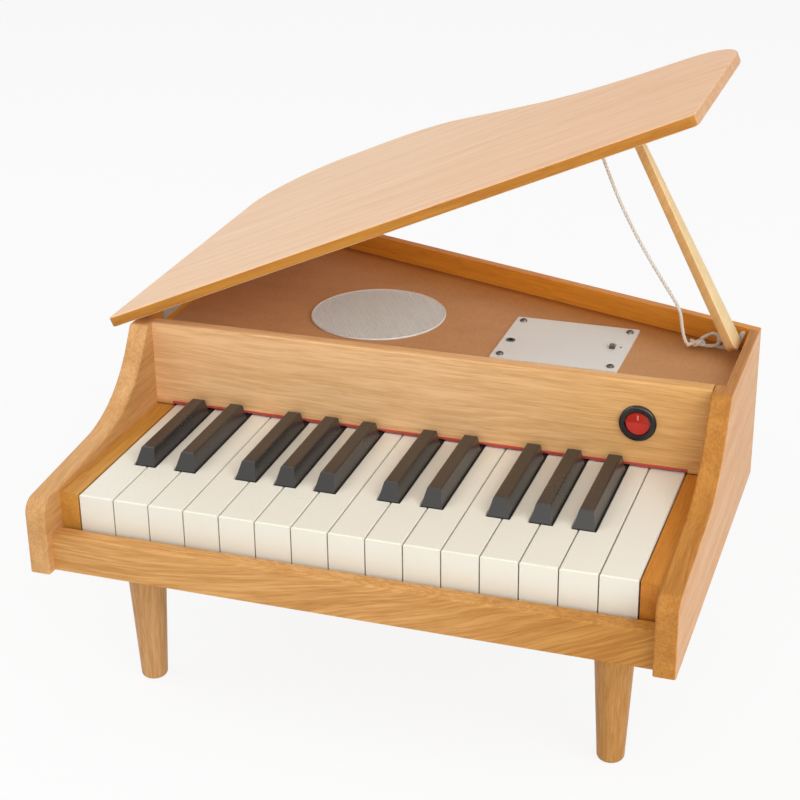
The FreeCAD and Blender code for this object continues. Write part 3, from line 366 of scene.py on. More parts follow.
cloth = bmesh.new()
cloth_middle = Matrix.Translation(spot(*GRILLE, DECK + CLOTH_LIFT))
add_round(cloth, CLOTH_RADIUS, CLOTH_RADIUS, CLOTH_WALL, 96, cloth_middle)
cloth = piece("grille_cloth", cloth, "case")

# Screws of the control plate: domed heads with a cross recess, one in each corner and turned its own way
plate_low, plate_high = [measured(corner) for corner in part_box("cover_plate")]
PLATE_X = (plate_low[0] + plate_high[0]) / 2
PLATE_Y = (plate_low[1] + plate_high[1]) / 2
PLATE_TOP = plate_high[2]
SCREW_ACROSS = 34.9
SCREW_BACK = 28.4
SCREW_TURNS = ((-1, -1, 20), (1, -1, 65), (1, 1, 5), (-1, 1, 40))
HEAD_RADIUS = 2.4
CROWN_RADIUS = 2.1
CROWN_ROUND = 0.7
HEAD_RISE = 1.3
RECESS = (2.6, 0.6, 1.2)
recesses = []
for angle in (0, math.pi / 2):
    recess = bmesh.new()
    add_block(recess, RECESS)
    rotate(recess, angle, "Z")
    move(recess, (0, 0, HEAD_RISE * MM))
    recesses.append(loose("recess", recess))
head = bmesh.new()
add_round(head, HEAD_RADIUS, CROWN_RADIUS, HEAD_RISE, 32)
move(head, (0, 0, HEAD_RISE / 2 * MM))
round_over(head, edges_where(head, lambda place: place.z > HEAD_RISE / 2 * MM), CROWN_ROUND, 4)
head = loose("head", head, *[without(recess) for recess in recesses])
screws = bmesh.new()
for across, back, angle in SCREW_TURNS:
    before = len(screws.verts)
    screws.from_mesh(head.data)
    screws.verts.ensure_lookup_table()
    fresh = screws.verts[before:]
    corner = spot(PLATE_X + across * SCREW_ACROSS, PLATE_Y + back * SCREW_BACK, PLATE_TOP)
    bmesh.ops.rotate(screws, verts=fresh, matrix=Matrix.Rotation(math.radians(angle), 3, "Z"))
    bmesh.ops.translate(screws, verts=fresh, vec=corner)
drop(head, *recesses)
screws = piece("screw_heads", screws, "case", node="plate_screws")

# Prop: flat bar, deep at its rounded foot and slim under the lid, with its edges just broken
PROP = hinge_place("prop_fold")
PROP_LEAN = math.radians(27.7)
BAR_LOW = -7
BAR_HIGH = 148.88
BAR_THICKNESS = 5.4
BAR_SHIFT = 1
FOOT_FRONT = -13.4
FOOT_BACK = 7
FOOT_ROUND = 6
TOP_FRONT = -4.9
TOP_BACK = 1
ARRIS_ROUND = 0.5
ARRIS_ANGLE = 0.8
bar = bmesh.new()
add_block(bar, (BAR_THICKNESS, 1, BAR_HIGH - BAR_LOW))
for lower, front, depth in ((1, 1, FOOT_FRONT), (1, 0, FOOT_BACK), (0, 1, TOP_FRONT), (0, 0, TOP_BACK)):
    pair = [vertex for vertex in bar.verts if (vertex.co.z < 0) == lower and (vertex.co.y < 0) == front]
    bmesh.ops.translate(bar, verts=pair, vec=(0, depth * MM - pair[0].co.y, 0))
move(bar, Vector((BAR_SHIFT, 0, (BAR_HIGH + BAR_LOW) / 2)) * MM)
foot = [edge for edge in edges_where(bar, lambda place: place.z < 0) if runs_across(edge)]
round_over(bar, foot, FOOT_ROUND, 8)
round_over(bar, [edge for edge in bar.edges if edge.calc_face_angle() > ARRIS_ANGLE], ARRIS_ROUND, 3)
rotate(bar, -PROP_LEAN, "Y")
move(bar, spot(*PROP))
bar = piece("prop_bar", bar, "prop", node="prop_stick")

# Bracket behind the prop's foot: sheet with a lug, a tongue for the pin and a lobe round the cord's eye.
# Its outline and its eye are given across and up from the pin.
SHEET_FRONT = 226.41
SHEET_WALL = 1.2
SHEET_ROUND = 1.1
SHEET_OUTLINE = (
    (-8.8, -12),
    (4.5, -12),
    (8.7, 0.7),
    (5.6, 0.7),
    (2.9, -7),
    (2.5, 3),
    (-3, 3),
    (-3.6, -4.9),
    (-8.8, -4.9),
)
EYE = (-6.4, -8.3)
EYE_RADIUS = 1.9
DRILL_LENGTH = 6
PIN_RADIUS = 1.5
PIN_LENGTH = 12.6
FLANGE = (8.7, 3.2, 1.2)
FLANGE_SHIFT = 0.15
ALONG_PIN = Matrix.Rotation(math.pi / 2, 4, "X")


def beside_pin(x, y, z):
    """Point given across and up from the prop's pin, and on a depth from the key fronts."""
    return spot(PROP[0] + x, y, PROP[2] + z)


drill = bmesh.new()
eye_middle = Matrix.Translation(beside_pin(EYE[0], SHEET_FRONT, EYE[1]))
add_round(drill, EYE_RADIUS, EYE_RADIUS, DRILL_LENGTH, 32, eye_middle @ ALONG_PIN)
drill = loose("drill", drill)
blank = bmesh.new()
corners = [blank.verts.new(beside_pin(x, SHEET_FRONT, z)) for x, z in SHEET_OUTLINE]
blank.faces.new(corners)
round_over(blank, corners[2:], SHEET_ROUND, 5, affect="VERTICES")
raised = bmesh.ops.extrude_face_region(blank, geom=blank.faces[:])["geom"]
bmesh.ops.translate(blank, verts=points_of(raised), vec=(0, SHEET_WALL * MM, 0))
bmesh.ops.recalc_face_normals(blank, faces=blank.faces[:])
blank = loose("blank", blank, without(drill))
bracket = bmesh.new()
bracket.from_mesh(blank.data)
drop(blank, drill)
pin_middle = Matrix.Translation(beside_pin(0, SHEET_FRONT + SHEET_WALL - PIN_LENGTH / 2, 0))
add_round(bracket, PIN_RADIUS, PIN_RADIUS, PIN_LENGTH, 24, pin_middle @ ALONG_PIN)
flange_middle = spot(PROP[0] + FLANGE_SHIFT, SHEET_FRONT + FLANGE[1] / 2, DECK + FLANGE[2] / 2)
add_block(bracket, FLANGE, Matrix.Translation(flange_middle))
bracket = piece("bracket_sheet", bracket, "case", node="prop_bracket")

# Felt under the fallboard: a strip over the keys whose lower edge and front waver in three waves,
# each with its share, its rate along the metre and its start
FELT_HALF = 166
FELT_ROUND = 0.4
FELT_CUTS = 120
FELT_WAVES = ((1, 210, 0), (0.7, 470, 1.3), (0.4, 890, 0))
FELT_LIFT = 0.5
LIFT_SWING = 0.2
FELT_SET = 0.15
SET_SWING = 0.07
felt_low, felt_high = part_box("nameboard_felt")
felt_size = felt_high - felt_low
felt_middle = (felt_high + felt_low) / 2
strip = bmesh.new()
bmesh.ops.create_cube(strip, size=1)
bmesh.ops.scale(strip, verts=strip.verts[:], vec=(2 * FELT_HALF * MM, *felt_size[1:]))
round_over(strip, edges_where(strip, lambda place: place.y < 0 and place.z < 0), FELT_ROUND, 3)
long_edges = [edge for edge in strip.edges if runs_across(edge)]
bmesh.ops.subdivide_edges(strip, edges=long_edges, cuts=FELT_CUTS, use_grid_fill=True)
for vertex in strip.verts:
    wave = sum(share * math.sin(vertex.co.x * rate + start) for share, rate, start in FELT_WAVES)
    if vertex.co.z < 0:
        vertex.co.z += (FELT_LIFT + LIFT_SWING * wave) * MM
    if vertex.co.y < 0:
        vertex.co.y += (FELT_SET + SET_SWING * wave) * MM
move(strip, (MIDDLE_X, *felt_middle[1:]))
strip = piece("felt_strip", strip, "case", node="nameboard_felt")

# Wooden fillets that carry the fallboard's foot on to the case sides, past both ends of the felt
FILLET_ROUND = 0.3
fillets = bmesh.new()
felt_left = MIDDLE_X - FELT_HALF * MM
felt_right = MIDDLE_X + FELT_HALF * MM
for start, end in ((felt_low.x, felt_left), (felt_right, felt_high.x)):
    middle = Vector(((start + end) / 2, *felt_middle[1:]))
    add_block(fillets, Vector((end - start, *felt_size[1:])) / MM, Matrix.Translation(middle))
round_over(fillets, fillets.edges[:], FILLET_ROUND, 3)
fillets = piece("fall_fillets", fillets, "case")

# Small lamp beside the slide knob
LENS = (107.8, 206.8, PLATE_TOP + 0.2)
LENS_FOOT = 0.9
LENS_TOP = 0.7
LENS_RISE = 0.5
lens = bmesh.new()
add_round(lens, LENS_FOOT, LENS_TOP, LENS_RISE, 24, Matrix.Translation(spot(*LENS)))
lens = piece("plate_lamp", lens, "case")

# Pale stroke on the upper half of the rocker, laid on its sloping face
SWITCH = hinge_place("rocker_tilt")
ROCKER_FACE = 1.6
ROCKER_SLOPE = 1.2 / 7.3
ROCKER_REST = math.radians(6)
STROKE = (0.9, 0.3, 3.6)
STROKE_RISE = 3.7
STROKE_ROUND = 0.1
stroke = bmesh.new()
add_block(stroke, STROKE)
round_over(stroke, stroke.edges[:], STROKE_ROUND, 2)
rotate(stroke, math.atan(ROCKER_SLOPE), "X")
move(stroke, Vector((0, -ROCKER_FACE - ROCKER_SLOPE * STROKE_RISE, STROKE_RISE)) * MM)
rotate(stroke, ROCKER_REST, "X")
move(stroke, spot(*SWITCH))
stroke = piece("rocker_stroke", stroke, "rocker")


# Finishes: a wire is a node's output that takes part in sums
class Wire:
    def __init__(self, finish, socket):
        self.finish = finish
        self.socket = socket

    def sum(self, operation, *terms):
        return self.finish.node("ShaderNodeMath", {"operation": operation}, dict(enumerate(terms)))

    def __add__(self, other):
        return self.sum("ADD", self, other)

    __radd__ = __add__

    def __sub__(self, other):
        return self.sum("SUBTRACT", self, other)

    def __rsub__(self, other):
        return self.sum("SUBTRACT", other, self)

    def __mul__(self, other):
        return self.sum("MULTIPLY", self, other)

    def __pow__(self, other):
        return self.sum("POWER", self, other)

    def __abs__(self):
        return self.sum("ABSOLUTE", self)

    def most(self, other):
        return self.sum("MAXIMUM", self, other)


class Nodes:
    """Tree whose nodes are added one by one."""

    def __init__(self, tree):
        self.tree = tree

    def feed(self, socket, value):
        if isinstance(value, Wire):
            self.tree.links.new(value.socket, socket)
        elif hasattr(value, "__len__") and len(value) == 3 and socket.type == "RGBA":
            socket.default_value = (*value, 1)
        else:
            socket.default_value = value

    def node(self, kind, settings=None, sockets=None, out=0):
        made = self.tree.nodes.new(kind)
        for name, value in (settings or {}).items():
            if name == "stops":
                ramp = made.color_ramp
                ramp.elements[0].position = value[0][0]
                ramp.elements[1].position = value[-1][0]
                for position, shade in value[1:-1]:
                    ramp.elements.new(position)
                for element, (position, shade) in zip(ramp.elements, value):
                    element.color = (shade, shade, shade, 1)
            else:
                setattr(made, name, value)
        for name, value in (sockets or {}).items():
            self.feed(made.inputs[name], value)
        return Wire(self, made.outputs[out])

    def seen(self):
        """1 for rays of the camera, and for those it sees in metal and through glass."""
        camera_ray = self.node("ShaderNodeLightPath", out="Is Camera Ray")
        glossy_ray = self.node("ShaderNodeLightPath", out="Is Glossy Ray")
        passing_ray = self.node("ShaderNodeLightPath", out="Is Transmission Ray")
        return camera_ray.most(glossy_ray).most(passing_ray)


class Finish(Nodes):
    """Material on object coordinates."""

    def __init__(self, name, **fixed):
        self.material = bpy.data.materials.new(name)
        self.material.use_nodes = True
        super().__init__(self.material.node_tree)
        self.shader = self.tree.nodes["Principled BSDF"]
        for socket, value in fixed.items():
            self.shader.inputs[socket.replace("_", " ")].default_value = value
        self.place = self.node("ShaderNodeTexCoord", out="Object")

    def turned(self, turn, shift=(0, 0, 0)):
        """Object coordinates turned and shifted."""
        return self.node("ShaderNodeMapping", None, {
            "Vector": self.place, "Location": shift, "Rotation": turn})

    def scaled(self, vector, scale):
        return self.node("ShaderNodeVectorMath", {"operation": "MULTIPLY"}, {0: vector, 1: scale})

    def noise(self, vector, scale, detail=3, rough=0.5, warp=0):
        """Noise with so many waves to the metre along each axis."""
        return self.node("ShaderNodeTexNoise", None, {
            "Vector": self.scaled(vector, scale), "Scale": 1, "Detail": detail, "Roughness": rough,
            "Distortion": warp})

    def even_noise(self, waves, detail=3, warp=0):
        return self.noise(self.place, (waves, waves, waves), detail, warp=warp)

    def ramp(self, value, *stops):
        return self.node("ShaderNodeValToRGB", {"stops": stops}, {"Fac": value})

    def step(self, value, low, high):
        """Smooth rise from 0 at low to 1 at high."""
        return self.node("ShaderNodeMapRange", {"interpolation_type": "SMOOTHSTEP"}, {
            "Value": value, "From Min": low, "From Max": high})

    def mix(self, share, first, second, blend="MIX"):
        return self.node("ShaderNodeMix", {"data_type": "RGBA", "blend_type": blend}, {
            0: share, 6: first, 7: second}, out=2)

    def stain_and_shade(self, share, tone, colour):
        """Tone deepened by a colour over a share of the board."""
        return self.mix(share, tone, colour, "MULTIPLY")

    def axis(self, place, letter):
        return self.node("ShaderNodeSeparateXYZ", None, {0: place}, out=letter)

    def bump(self, height, strength, distance):
        return self.node("ShaderNodeBump", None, {
            "Height": height, "Strength": strength, "Distance": distance})

    def give(self, **sockets):
        for name, value in sockets.items():
            self.feed(self.shader.inputs[name.replace("_", " ")], value)
        return self.material


# Grain: waves to the metre along and across the fibres
FLOW = (5, 26, 26)
BANDS = (6, 120, 120)
STREAKS = (32, 720, 720)
DASHES = (70, 1500, 1500)
ALONG_Y = (0, 0, -math.pi / 2)
UP = (0, -math.pi / 2, 0)


def grain_of(finish, turn=(0, 0, 0), shift=(0, 0, 0), arch=0, arch_from=0, sway=0.02, fine=0.5,
             lift=(0, 1, 1)):
    """Grain along X of the turned coordinates: broad figure, pores and fine streaks, all 0 to 1.

    It sways, and perhaps arches from a place along the board, in the directions that lift gives.
    """
    board = finish.turned(turn, shift)
    along = finish.axis(board, "X")
    rise = finish.noise(board, FLOW, detail=2) * sway - (along - arch_from) ** 2 * arch
    bend = finish.node("ShaderNodeVectorMath", {"operation": "MULTIPLY_ADD"}, {0: rise, 1: lift, 2: board})
    bands = finish.noise(bend, BANDS, detail=4, rough=0.6)
    streaks = finish.noise(bend, STREAKS, detail=3, rough=0.6)
    dashes = finish.noise(bend, DASHES, detail=1)
    specks = finish.ramp(dashes, (0.56, 0), (0.7, 1)) * finish.ramp(bands, (0.35, 0.15), (0.65, 1))
    broad = finish.ramp(bands * (1 - fine) + streaks * fine, (0.4, 0), (0.6, 1))
    return broad, specks, streaks


def oak_colours(finish, pale, deep, pore, broad, specks):
    tone = finish.mix(broad, pale, deep)
    return finish.mix(specks * 0.5, tone, pore)


def lacquered(finish, tone, specks, streaks, gloss, depth=0.25):
    """Lacquer over wood: duller in the pores, with the grain just felt."""
    return finish.give(
        Base_Color=tone,
        Roughness=gloss + specks * 0.18,
        Normal=finish.bump(streaks * 0.3 - specks, depth, 0.2 * MM))


# Each wood: its pale and deep tones and its pores
FALL = ((0.845, 0.525, 0.265), (0.7, 0.395, 0.172), (0.5, 0.255, 0.103))
LEG_PALE = ((0.615, 0.345, 0.14), (0.51, 0.255, 0.088), (0.4, 0.185, 0.058))
LEG_DEEP = ((0.545, 0.28, 0.084), (0.45, 0.205, 0.05), (0.35, 0.145, 0.033))
SLIP = ((0.67, 0.355, 0.12), (0.5, 0.228, 0.058), (0.35, 0.14, 0.028))
CHEEK = ((0.67, 0.37, 0.15), (0.53, 0.265, 0.09), (0.38, 0.17, 0.05))
RUSSET = ((0.52, 0.225, 0.042), (0.395, 0.155, 0.024), (0.285, 0.102, 0.013))
BLOCK = ((0.6, 0.29, 0.055), (0.49, 0.215, 0.036), (0.36, 0.14, 0.02))
AMBER = ((0.8, 0.325, 0.038), (0.68, 0.255, 0.025), (0.49, 0.165, 0.014))
EDGE = ((0.53, 0.225, 0.03), (0.42, 0.16, 0.018), (0.31, 0.105, 0.01))
VENEER = ((0.92, 0.62, 0.39), (0.83, 0.51, 0.295), (0.68, 0.38, 0.195))
FLANK = ((0.75, 0.41, 0.18), (0.66, 0.325, 0.13), (0.52, 0.23, 0.085))
# Prop: a lit tone for its wide faces and a shaded tone for its narrow edges, painted light and shade of one
# wood
PROP_LIT = ((0.9, 0.68, 0.36), (0.81, 0.575, 0.28), (0.66, 0.42, 0.19))
PROP_SHADED = ((0.64, 0.37, 0.14), (0.55, 0.295, 0.1), (0.41, 0.205, 0.065))
INNER = ((0.62, 0.46, 0.28), (0.5, 0.35, 0.2), (0.35, 0.23, 0.12))
LACQUER = {"IOR": 1.48, "Specular_IOR_Level": 0.25}
GLOSS = 0.42


def plain_wood(name, colours, gloss=GLOSS, stain_and_shade=None, **grain):
    """Board of one wood, perhaps deepened towards its right end as painted shade."""
    finish = Finish(name, **LACQUER)
    broad, specks, streaks = grain_of(finish, **grain)
    tone = oak_colours(finish, *colours, broad, specks)
    # Painted shade: the tone deepens towards the right end, standing in for light that falls off from the
    # left.
    if stain_and_shade:
        tone = finish.stain_and_shade(finish.step(finish.axis(finish.place, "X"), MIDDLE_X, RIGHT_X), tone, stain_and_shade)
    return lacquered(finish, tone, specks, streaks, gloss + (broad - 0.5) * 0.08)


def side_wood(name, outer_sign, edges):
    """Case side: its own edges and cheek, pale veneer on the outer face, amber inside the rim."""
    finish = Finish(name, **LACQUER)
    broad, specks, streaks = grain_of(finish, ALONG_Y, (0, 0, 0.31))
    across = finish.axis(finish.place, "X") * outer_sign
    outer = spot(CASE_HALF * outer_sign, 0, 0).x * outer_sign
    inner = spot(RIM_FACE * outer_sign, 0, 0).x * outer_sign
    face = finish.step(across, outer - 0.7 * MM, outer - 0.2 * MM)
    back = finish.step(finish.axis(finish.place, "Y"), spot(0, RIM_START, 0).y, spot(0, RIM_START + 0.5, 0).y)
    inside = back * (1 - finish.step(across, inner + 0.1 * MM, inner + 0.4 * MM))
    solid = oak_colours(finish, *edges, broad, specks)
    pale = oak_colours(finish, *FLANK, broad * 0.8, specks * 0.5)
    amber = oak_colours(finish, *AMBER, broad, specks)
    tone = finish.mix(inside, finish.mix(face, solid, pale), amber)
    return lacquered(finish, tone, specks, streaks, GLOSS + (broad - 0.5) * 0.08)


def rear_wood():
    """Slanting back: amber inside and along its top edge, pale veneer outside and on its ends."""
    finish = Finish("rear_wood", **LACQUER)
    slant = (0, 0, BACK_SLANT)
    broad, specks, streaks = grain_of(finish, slant, (0, 0, 0.17))
    across = finish.axis(finish.turned(slant), "Y")
    outside = finish.step(across, BACK_FACE - 0.4 * MM, BACK_FACE - 0.1 * MM)
    from_middle = abs(finish.axis(finish.place, "X") - MIDDLE_X)
    ends = finish.step(from_middle, (CASE_HALF - 0.5) * MM, (CASE_HALF - 0.2) * MM)
    pale = oak_colours(finish, *FLANK, broad * 0.8, specks * 0.5)
    amber = oak_colours(finish, *AMBER, broad, specks)
    return lacquered(finish, finish.mix(outside.most(ends), amber, pale), specks, streaks, GLOSS)


def prop_wood():
    """Prop: its wide faces paler than its narrow edges, as painted light on the wide faces and painted shade
    on the edges.
    """
    finish = Finish("prop_wood", **LACQUER)
    broad, specks, streaks = grain_of(finish, (0, -math.pi / 2 - PROP_LEAN, 0))
    middle = (Matrix.Rotation(PROP_LEAN, 3, "Y") @ spot(*PROP)).x + BAR_SHIFT * MM
    across = abs(finish.axis(finish.turned((0, PROP_LEAN, 0)), "X") - middle)
    # Painted light and shade: the wide faces take the lit tone, the narrow edges the shaded one.
    painted_lit_faces = finish.step(across, (BAR_THICKNESS / 2 - 0.5) * MM, (BAR_THICKNESS / 2 - 0.1) * MM)
    pale = oak_colours(finish, *PROP_LIT, broad * 0.8, specks * 0.4)
    deep = oak_colours(finish, *PROP_SHADED, broad * 0.8, specks * 0.4)
    return lacquered(finish, finish.mix(painted_lit_faces, deep, pale), specks, streaks, 0.45, depth=0.2)


# Lid: its opening, its hinge line, its reach across the case and the heights where its solid core shows
LID_ANGLE = math.radians(23.8)
LID_HINGE = hinge_place("lid_hinge")
LID_REACH = 376.9
CORE_LOW = 2.5
CORE_HIGH = 8.3
CORE_FADE = 0.2


def lid_wood():
    """Lid: veneer on both faces, with painted light making it paler towards the hinges, over a solid core
    with a paler right end.
    """
    finish = Finish("lid_veneer", **LACQUER)
    flat = (0, LID_ANGLE, 0)
    broad, specks, streaks = grain_of(finish, flat, sway=0.012)
    hinge = Matrix.Rotation(LID_ANGLE, 3, "Y") @ spot(*LID_HINGE)
    board = finish.turned(flat)
    depth = finish.axis(board, "Z") - hinge.z
    along = finish.axis(board, "X") - hinge.x
    above = finish.step(depth, (CORE_LOW - CORE_FADE) * MM, (CORE_LOW + CORE_FADE) * MM)
    beyond = finish.step(depth, (CORE_HIGH - CORE_FADE) * MM, (CORE_HIGH + CORE_FADE) * MM)
    right_end = finish.step(along, (LID_REACH - 1.6) * MM, (LID_REACH - 0.4) * MM)
    core = above * (1 - beyond) * (1 - right_end * 0.6)
    solid = oak_colours(finish, *EDGE, broad, specks)
    pale = oak_colours(finish, *VENEER, broad * 0.75, specks * 0.4)
    # Painted light: the veneer is paler towards the hinges on the left and deeper towards the right, as the
    # light falls off.
    pale = finish.stain_and_shade(finish.step(along, 0, LID_REACH * MM), pale, (0.92, 0.83, 0.74))
    gloss = 0.4 + (broad - 0.5) * 0.08
    return lacquered(finish, finish.mix(core, pale, solid), specks, streaks, gloss, depth=0.2)


def moulded(name, colour, deep, rough, dents=0.06):
    """Moulded plastic: faint cloudiness in colour and gloss, a fine skin."""
    finish = Finish(name)
    cloud = finish.even_noise(14)
    skin = finish.even_noise(900, detail=2)
    return finish.give(
        Base_Color=finish.mix(cloud, colour, deep),
        Roughness=rough + (cloud - 0.5) * 0.12 + (skin - 0.5) * 0.06,
        Normal=finish.bump(skin, dents, 0.1 * MM))


def felt(name, colour, deep):
    finish = Finish(name, Roughness=0.95, Sheen_Weight=0.4)
    fibre = finish.even_noise(1500, warp=1.5)
    tuft = finish.even_noise(180)
    return finish.give(
        Base_Color=finish.mix(fibre * 0.6 + tuft * 0.4, colour, deep),
        Normal=finish.bump(fibre, 0.6, 0.4 * MM))


def metal(name, colour, deep, rough, metallic=1):
    """Rolled or plated metal with fine lines."""
    finish = Finish(name, Metallic=metallic)
    lines = finish.noise(finish.place, (900, 60, 900))
    stain_and_shade = finish.even_noise(60)
    return finish.give(
        Base_Color=finish.mix(stain_and_shade, colour, deep),
        Roughness=rough + (lines - 0.5) * 0.2 + (stain_and_shade - 0.5) * 0.15,
        Normal=finish.bump(lines, 0.08, 0.1 * MM))


def deck_board():
    """Brown stained fibre board. Painted light makes it paler towards the left, under the lid; near the
    slanting back a painted reflection of the amber wall and painted shade deepen it, with a painted shadow
    line at its foot.
    """
    finish = Finish("deck_board", IOR=1.45, Specular_IOR_Level=0.3)
    mottle = finish.noise(finish.place, (35, 60, 60), detail=4)
    fibre = finish.noise(finish.place, (700, 260, 700))
    gap = BACK_FACE - BACK_WALL * MM - finish.axis(finish.turned((0, 0, BACK_SLANT)), "Y")
    tone = finish.mix(finish.ramp(mottle * 0.5 + fibre * 0.5, (0.3, 0), (0.7, 1)),
                      (0.7, 0.395, 0.195), (0.6, 0.325, 0.155))
    # Painted light: paler towards the left, where the lid shades the board.
    tone = finish.stain_and_shade(finish.step(finish.axis(finish.place, "X"), LEFT_X, RIGHT_X), tone, (0.86, 0.8, 0.66))
    # Painted reflection of the amber back and painted shade within 45 mm of it, and a painted shadow line
    # along its foot.
    tone = finish.stain_and_shade(1 - finish.step(gap, 0, 45 * MM), tone, (0.8, 0.68, 0.45))
    tone = finish.stain_and_shade(1 - finish.step(gap, 0, 9 * MM), tone, (0.62, 0.5, 0.4))
    return finish.give(
        Base_Color=tone,
        Roughness=0.55 + (fibre - 0.5) * 0.2,
        Normal=finish.bump(fibre, 0.12, 0.2 * MM))


def cord_fibre():
    finish = Finish("cord_fibre", Roughness=0.9, Sheen_Weight=0.3)
    fibre = finish.noise(finish.place, (1800, 1800, 900))
    cloud = finish.even_noise(120, detail=2)
    return finish.give(
        Base_Color=finish.mix(fibre * 0.6 + cloud * 0.4, (0.76, 0.71, 0.63), (0.63, 0.58, 0.5)),
        Normal=finish.bump(fibre, 0.2, 0.3 * MM))


def dress(material, *targets):
    """Give a finish to nodes named and to pieces made here."""
    for target in targets:
        data = nodes[target].data if isinstance(target, str) else target.data
        data.materials.clear()
        data.materials.append(material)


# Woods
dress(side_wood("side_wood_left", -1, CHEEK), "side_left")
dress(side_wood("side_wood_right", 1, RUSSET), "side_right")
dress(rear_wood(), "rear_wall")
dress(lid_wood(), "lid")
# The fallboard, the slip and the key blocks deepen towards their right ends as painted shade.
dress(plain_wood("fallboard_wood", FALL, stain_and_shade=(0.88, 0.8, 0.56), shift=(0, 0.1, 0.23), arch=0.08,
                 arch_from=0.05, fine=0.65, lift=(0, 0, 1)), "fallboard")
dress(plain_wood("fillet_wood", CHEEK, shift=(0, 0.2, 0.19)), fillets)
dress(plain_wood("slip_wood", SLIP, stain_and_shade=(0.78, 0.68, 0.4), shift=(0, 0.4, 0.11), arch=0.8,
                 arch_from=-0.15, fine=0.72, lift=(0, 0, 1)), "keyslip")
dress(plain_wood("block_wood", BLOCK, stain_and_shade=(0.98, 0.78, 0.52), turn=ALONG_Y, shift=(0, 0, 0.07)),
      "key_blocks")
legs = {"leg_front_left": LEG_PALE, "leg_front_right": LEG_DEEP, "leg_rear": LEG_PALE}
for shift, (leg, colours) in enumerate(legs.items()):
    dress(plain_wood("wood_of_" + leg, colours, turn=UP, shift=(0, 0.03 * shift, 0.3), fine=0.75), leg)
dress(prop_wood(), "prop_stick", bar)
dress(plain_wood("inner_board", INNER, gloss=0.7), "bottom_board", "balance_rail")
dress(deck_board(), "soundboard")

# Plastics, rubber and painted metal
ivory = moulded("ivory_plastic", (0.815, 0.79, 0.69), (0.775, 0.74, 0.635), 0.3, dents=0.015)
ebony = moulded("black_plastic", (0.026, 0.024, 0.023), (0.036, 0.032, 0.03), 0.25, dents=0.02)
dress(ivory, *[name for name in nodes if name.startswith("white_")])
dress(ebony, *[name for name in nodes if name.startswith("black_")])
gloss_black = moulded("bezel_plastic", (0.012, 0.011, 0.011), (0.02, 0.019, 0.018), 0.2)
dress(gloss_black, "switch_bezel", "jack_socket")
dress(moulded("lamp_lens", (0.3, 0.27, 0.24), (0.24, 0.215, 0.19), 0.25), lens)
dress(moulded("knob_plastic", (0.12, 0.07, 0.055), (0.09, 0.052, 0.04), 0.35), "slide_knob")
dress(moulded("red_plastic", (0.58, 0.03, 0.016), (0.47, 0.022, 0.013), 0.22), "switch_rocker")
dress(moulded("stroke_paint", (0.64, 0.32, 0.27), (0.56, 0.26, 0.22), 0.4), stroke)
dress(moulded("plate_plastic", (0.82, 0.86, 0.85), (0.77, 0.81, 0.79), 0.42), "cover_plate")
dress(moulded("speaker_steel", (0.04, 0.04, 0.04), (0.06, 0.06, 0.06), 0.5), "speaker_frame")
dress(moulded("circuit_laminate", (0.016, 0.075, 0.03), (0.011, 0.055, 0.022), 0.4), "circuit_board")
dress(moulded("tray_plastic", (0.03, 0.03, 0.03), (0.045, 0.045, 0.045), 0.45), "battery_box")
dress(moulded("contact_rubber", (0.24, 0.24, 0.24), (0.19, 0.19, 0.19), 0.8), "contact_strip")

# Felts, paper and cord
dress(felt("red_felt", (0.6, 0.06, 0.025), (0.44, 0.036, 0.016)), "nameboard_felt", strip)
dress(felt("grey_felt", (0.5, 0.49, 0.46), (0.36, 0.35, 0.33)), "key_felts")
dress(felt("grille_cloth", (0.44, 0.48, 0.48), (0.34, 0.37, 0.37)), cloth)
dress(felt("speaker_paper", (0.03, 0.03, 0.03), (0.05, 0.05, 0.05)), "speaker_cone")
dress(cord_fibre(), cord, knot)

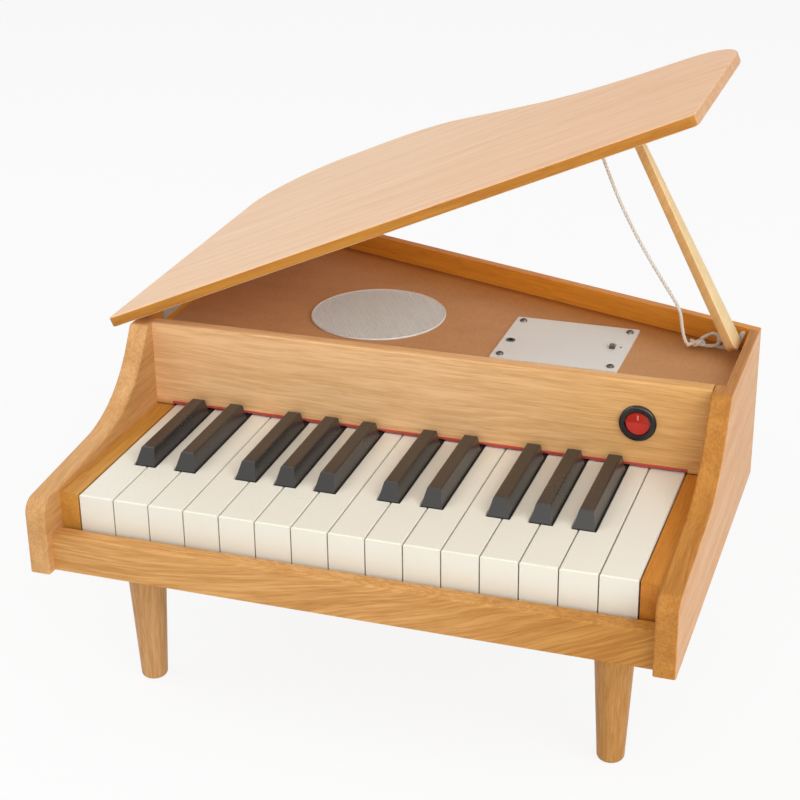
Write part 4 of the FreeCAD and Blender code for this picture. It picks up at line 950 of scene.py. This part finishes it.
# Metals
dress(metal("screw_steel", (0.2, 0.19, 0.18), (0.13, 0.123, 0.117), 0.38), "plate_screws", screws)
plated = metal("plated_steel", (0.74, 0.77, 0.75), (0.6, 0.63, 0.61), 0.35, metallic=0.5)
dress(plated, "hinge_case_leaves", "hinge_lid_leaves", "prop_bracket", bracket)
dress(metal("bright_steel", (0.62, 0.62, 0.62), (0.52, 0.52, 0.52), 0.25), "key_rod", "leg_studs")
sheet = metal("grille_sheet", (0.84, 0.88, 0.88), (0.76, 0.8, 0.8), 0.5, metallic=0.1)
dress(sheet, "speaker_grille", grille)

# Lamps, given in metres and turned to the middle of the case
LAMP_AIM = Vector((0, 0, 0.2))


def lamp(name, place, size, power):
    data = bpy.data.lights.new(name, "AREA")
    data.shape = "SQUARE"
    data.size = size
    data.energy = power
    made = linked(name, data)
    made.location = place
    made.rotation_euler = (Vector(place) - LAMP_AIM).to_track_quat("Z", "Y").to_euler()


lamp("front_lamp", (0.3, -2.0, 0.8), 1.2, 10)
lamp("left_lamp", (-1.4, -0.6, 1.7), 1.2, 14)
lamp("right_lamp", (1.4, -1.0, 1.2), 1.4, 21)
lamp("top_lamp", (0, 0.3, 2.2), 1.6, 5)

# Floor of white paper that shows brighter than it is lit
FLOOR_HALF = 12000 * MM
FLOOR_DROP = 0.2 * MM
FLOOR_GLOW = 0.88
ground = bmesh.new()
bmesh.ops.create_grid(ground, x_segments=1, y_segments=1, size=FLOOR_HALF)
floor = loose("floor", ground)
floor.location.z = -FLOOR_DROP
paper = Finish("floor_paper")
lit = paper.node("ShaderNodeBsdfDiffuse", None, {"Color": (0.82, 0.82, 0.82)})
glow = paper.node("ShaderNodeEmission", None, {"Color": (1, 1, 1), "Strength": 1})
both = paper.node("ShaderNodeMixShader", None, {0: paper.seen() * FLOOR_GLOW, 1: lit, 2: glow})
paper.feed(paper.tree.nodes["Material Output"].inputs["Surface"], both)
paper.tree.nodes.remove(paper.shader)
dress(paper.material, floor)

# Surroundings: white where they are seen, dimmer as light
SKY_LIGHT = 0.42
world = bpy.data.worlds.new("studio")
world.use_nodes = True
scene.world = world
studio = Nodes(world.node_tree)
sky = studio.tree.nodes["Background"]
studio.feed(sky.inputs["Color"], (1, 1, 1))
studio.feed(sky.inputs["Strength"], SKY_LIGHT + studio.seen() * (1 - SKY_LIGHT))
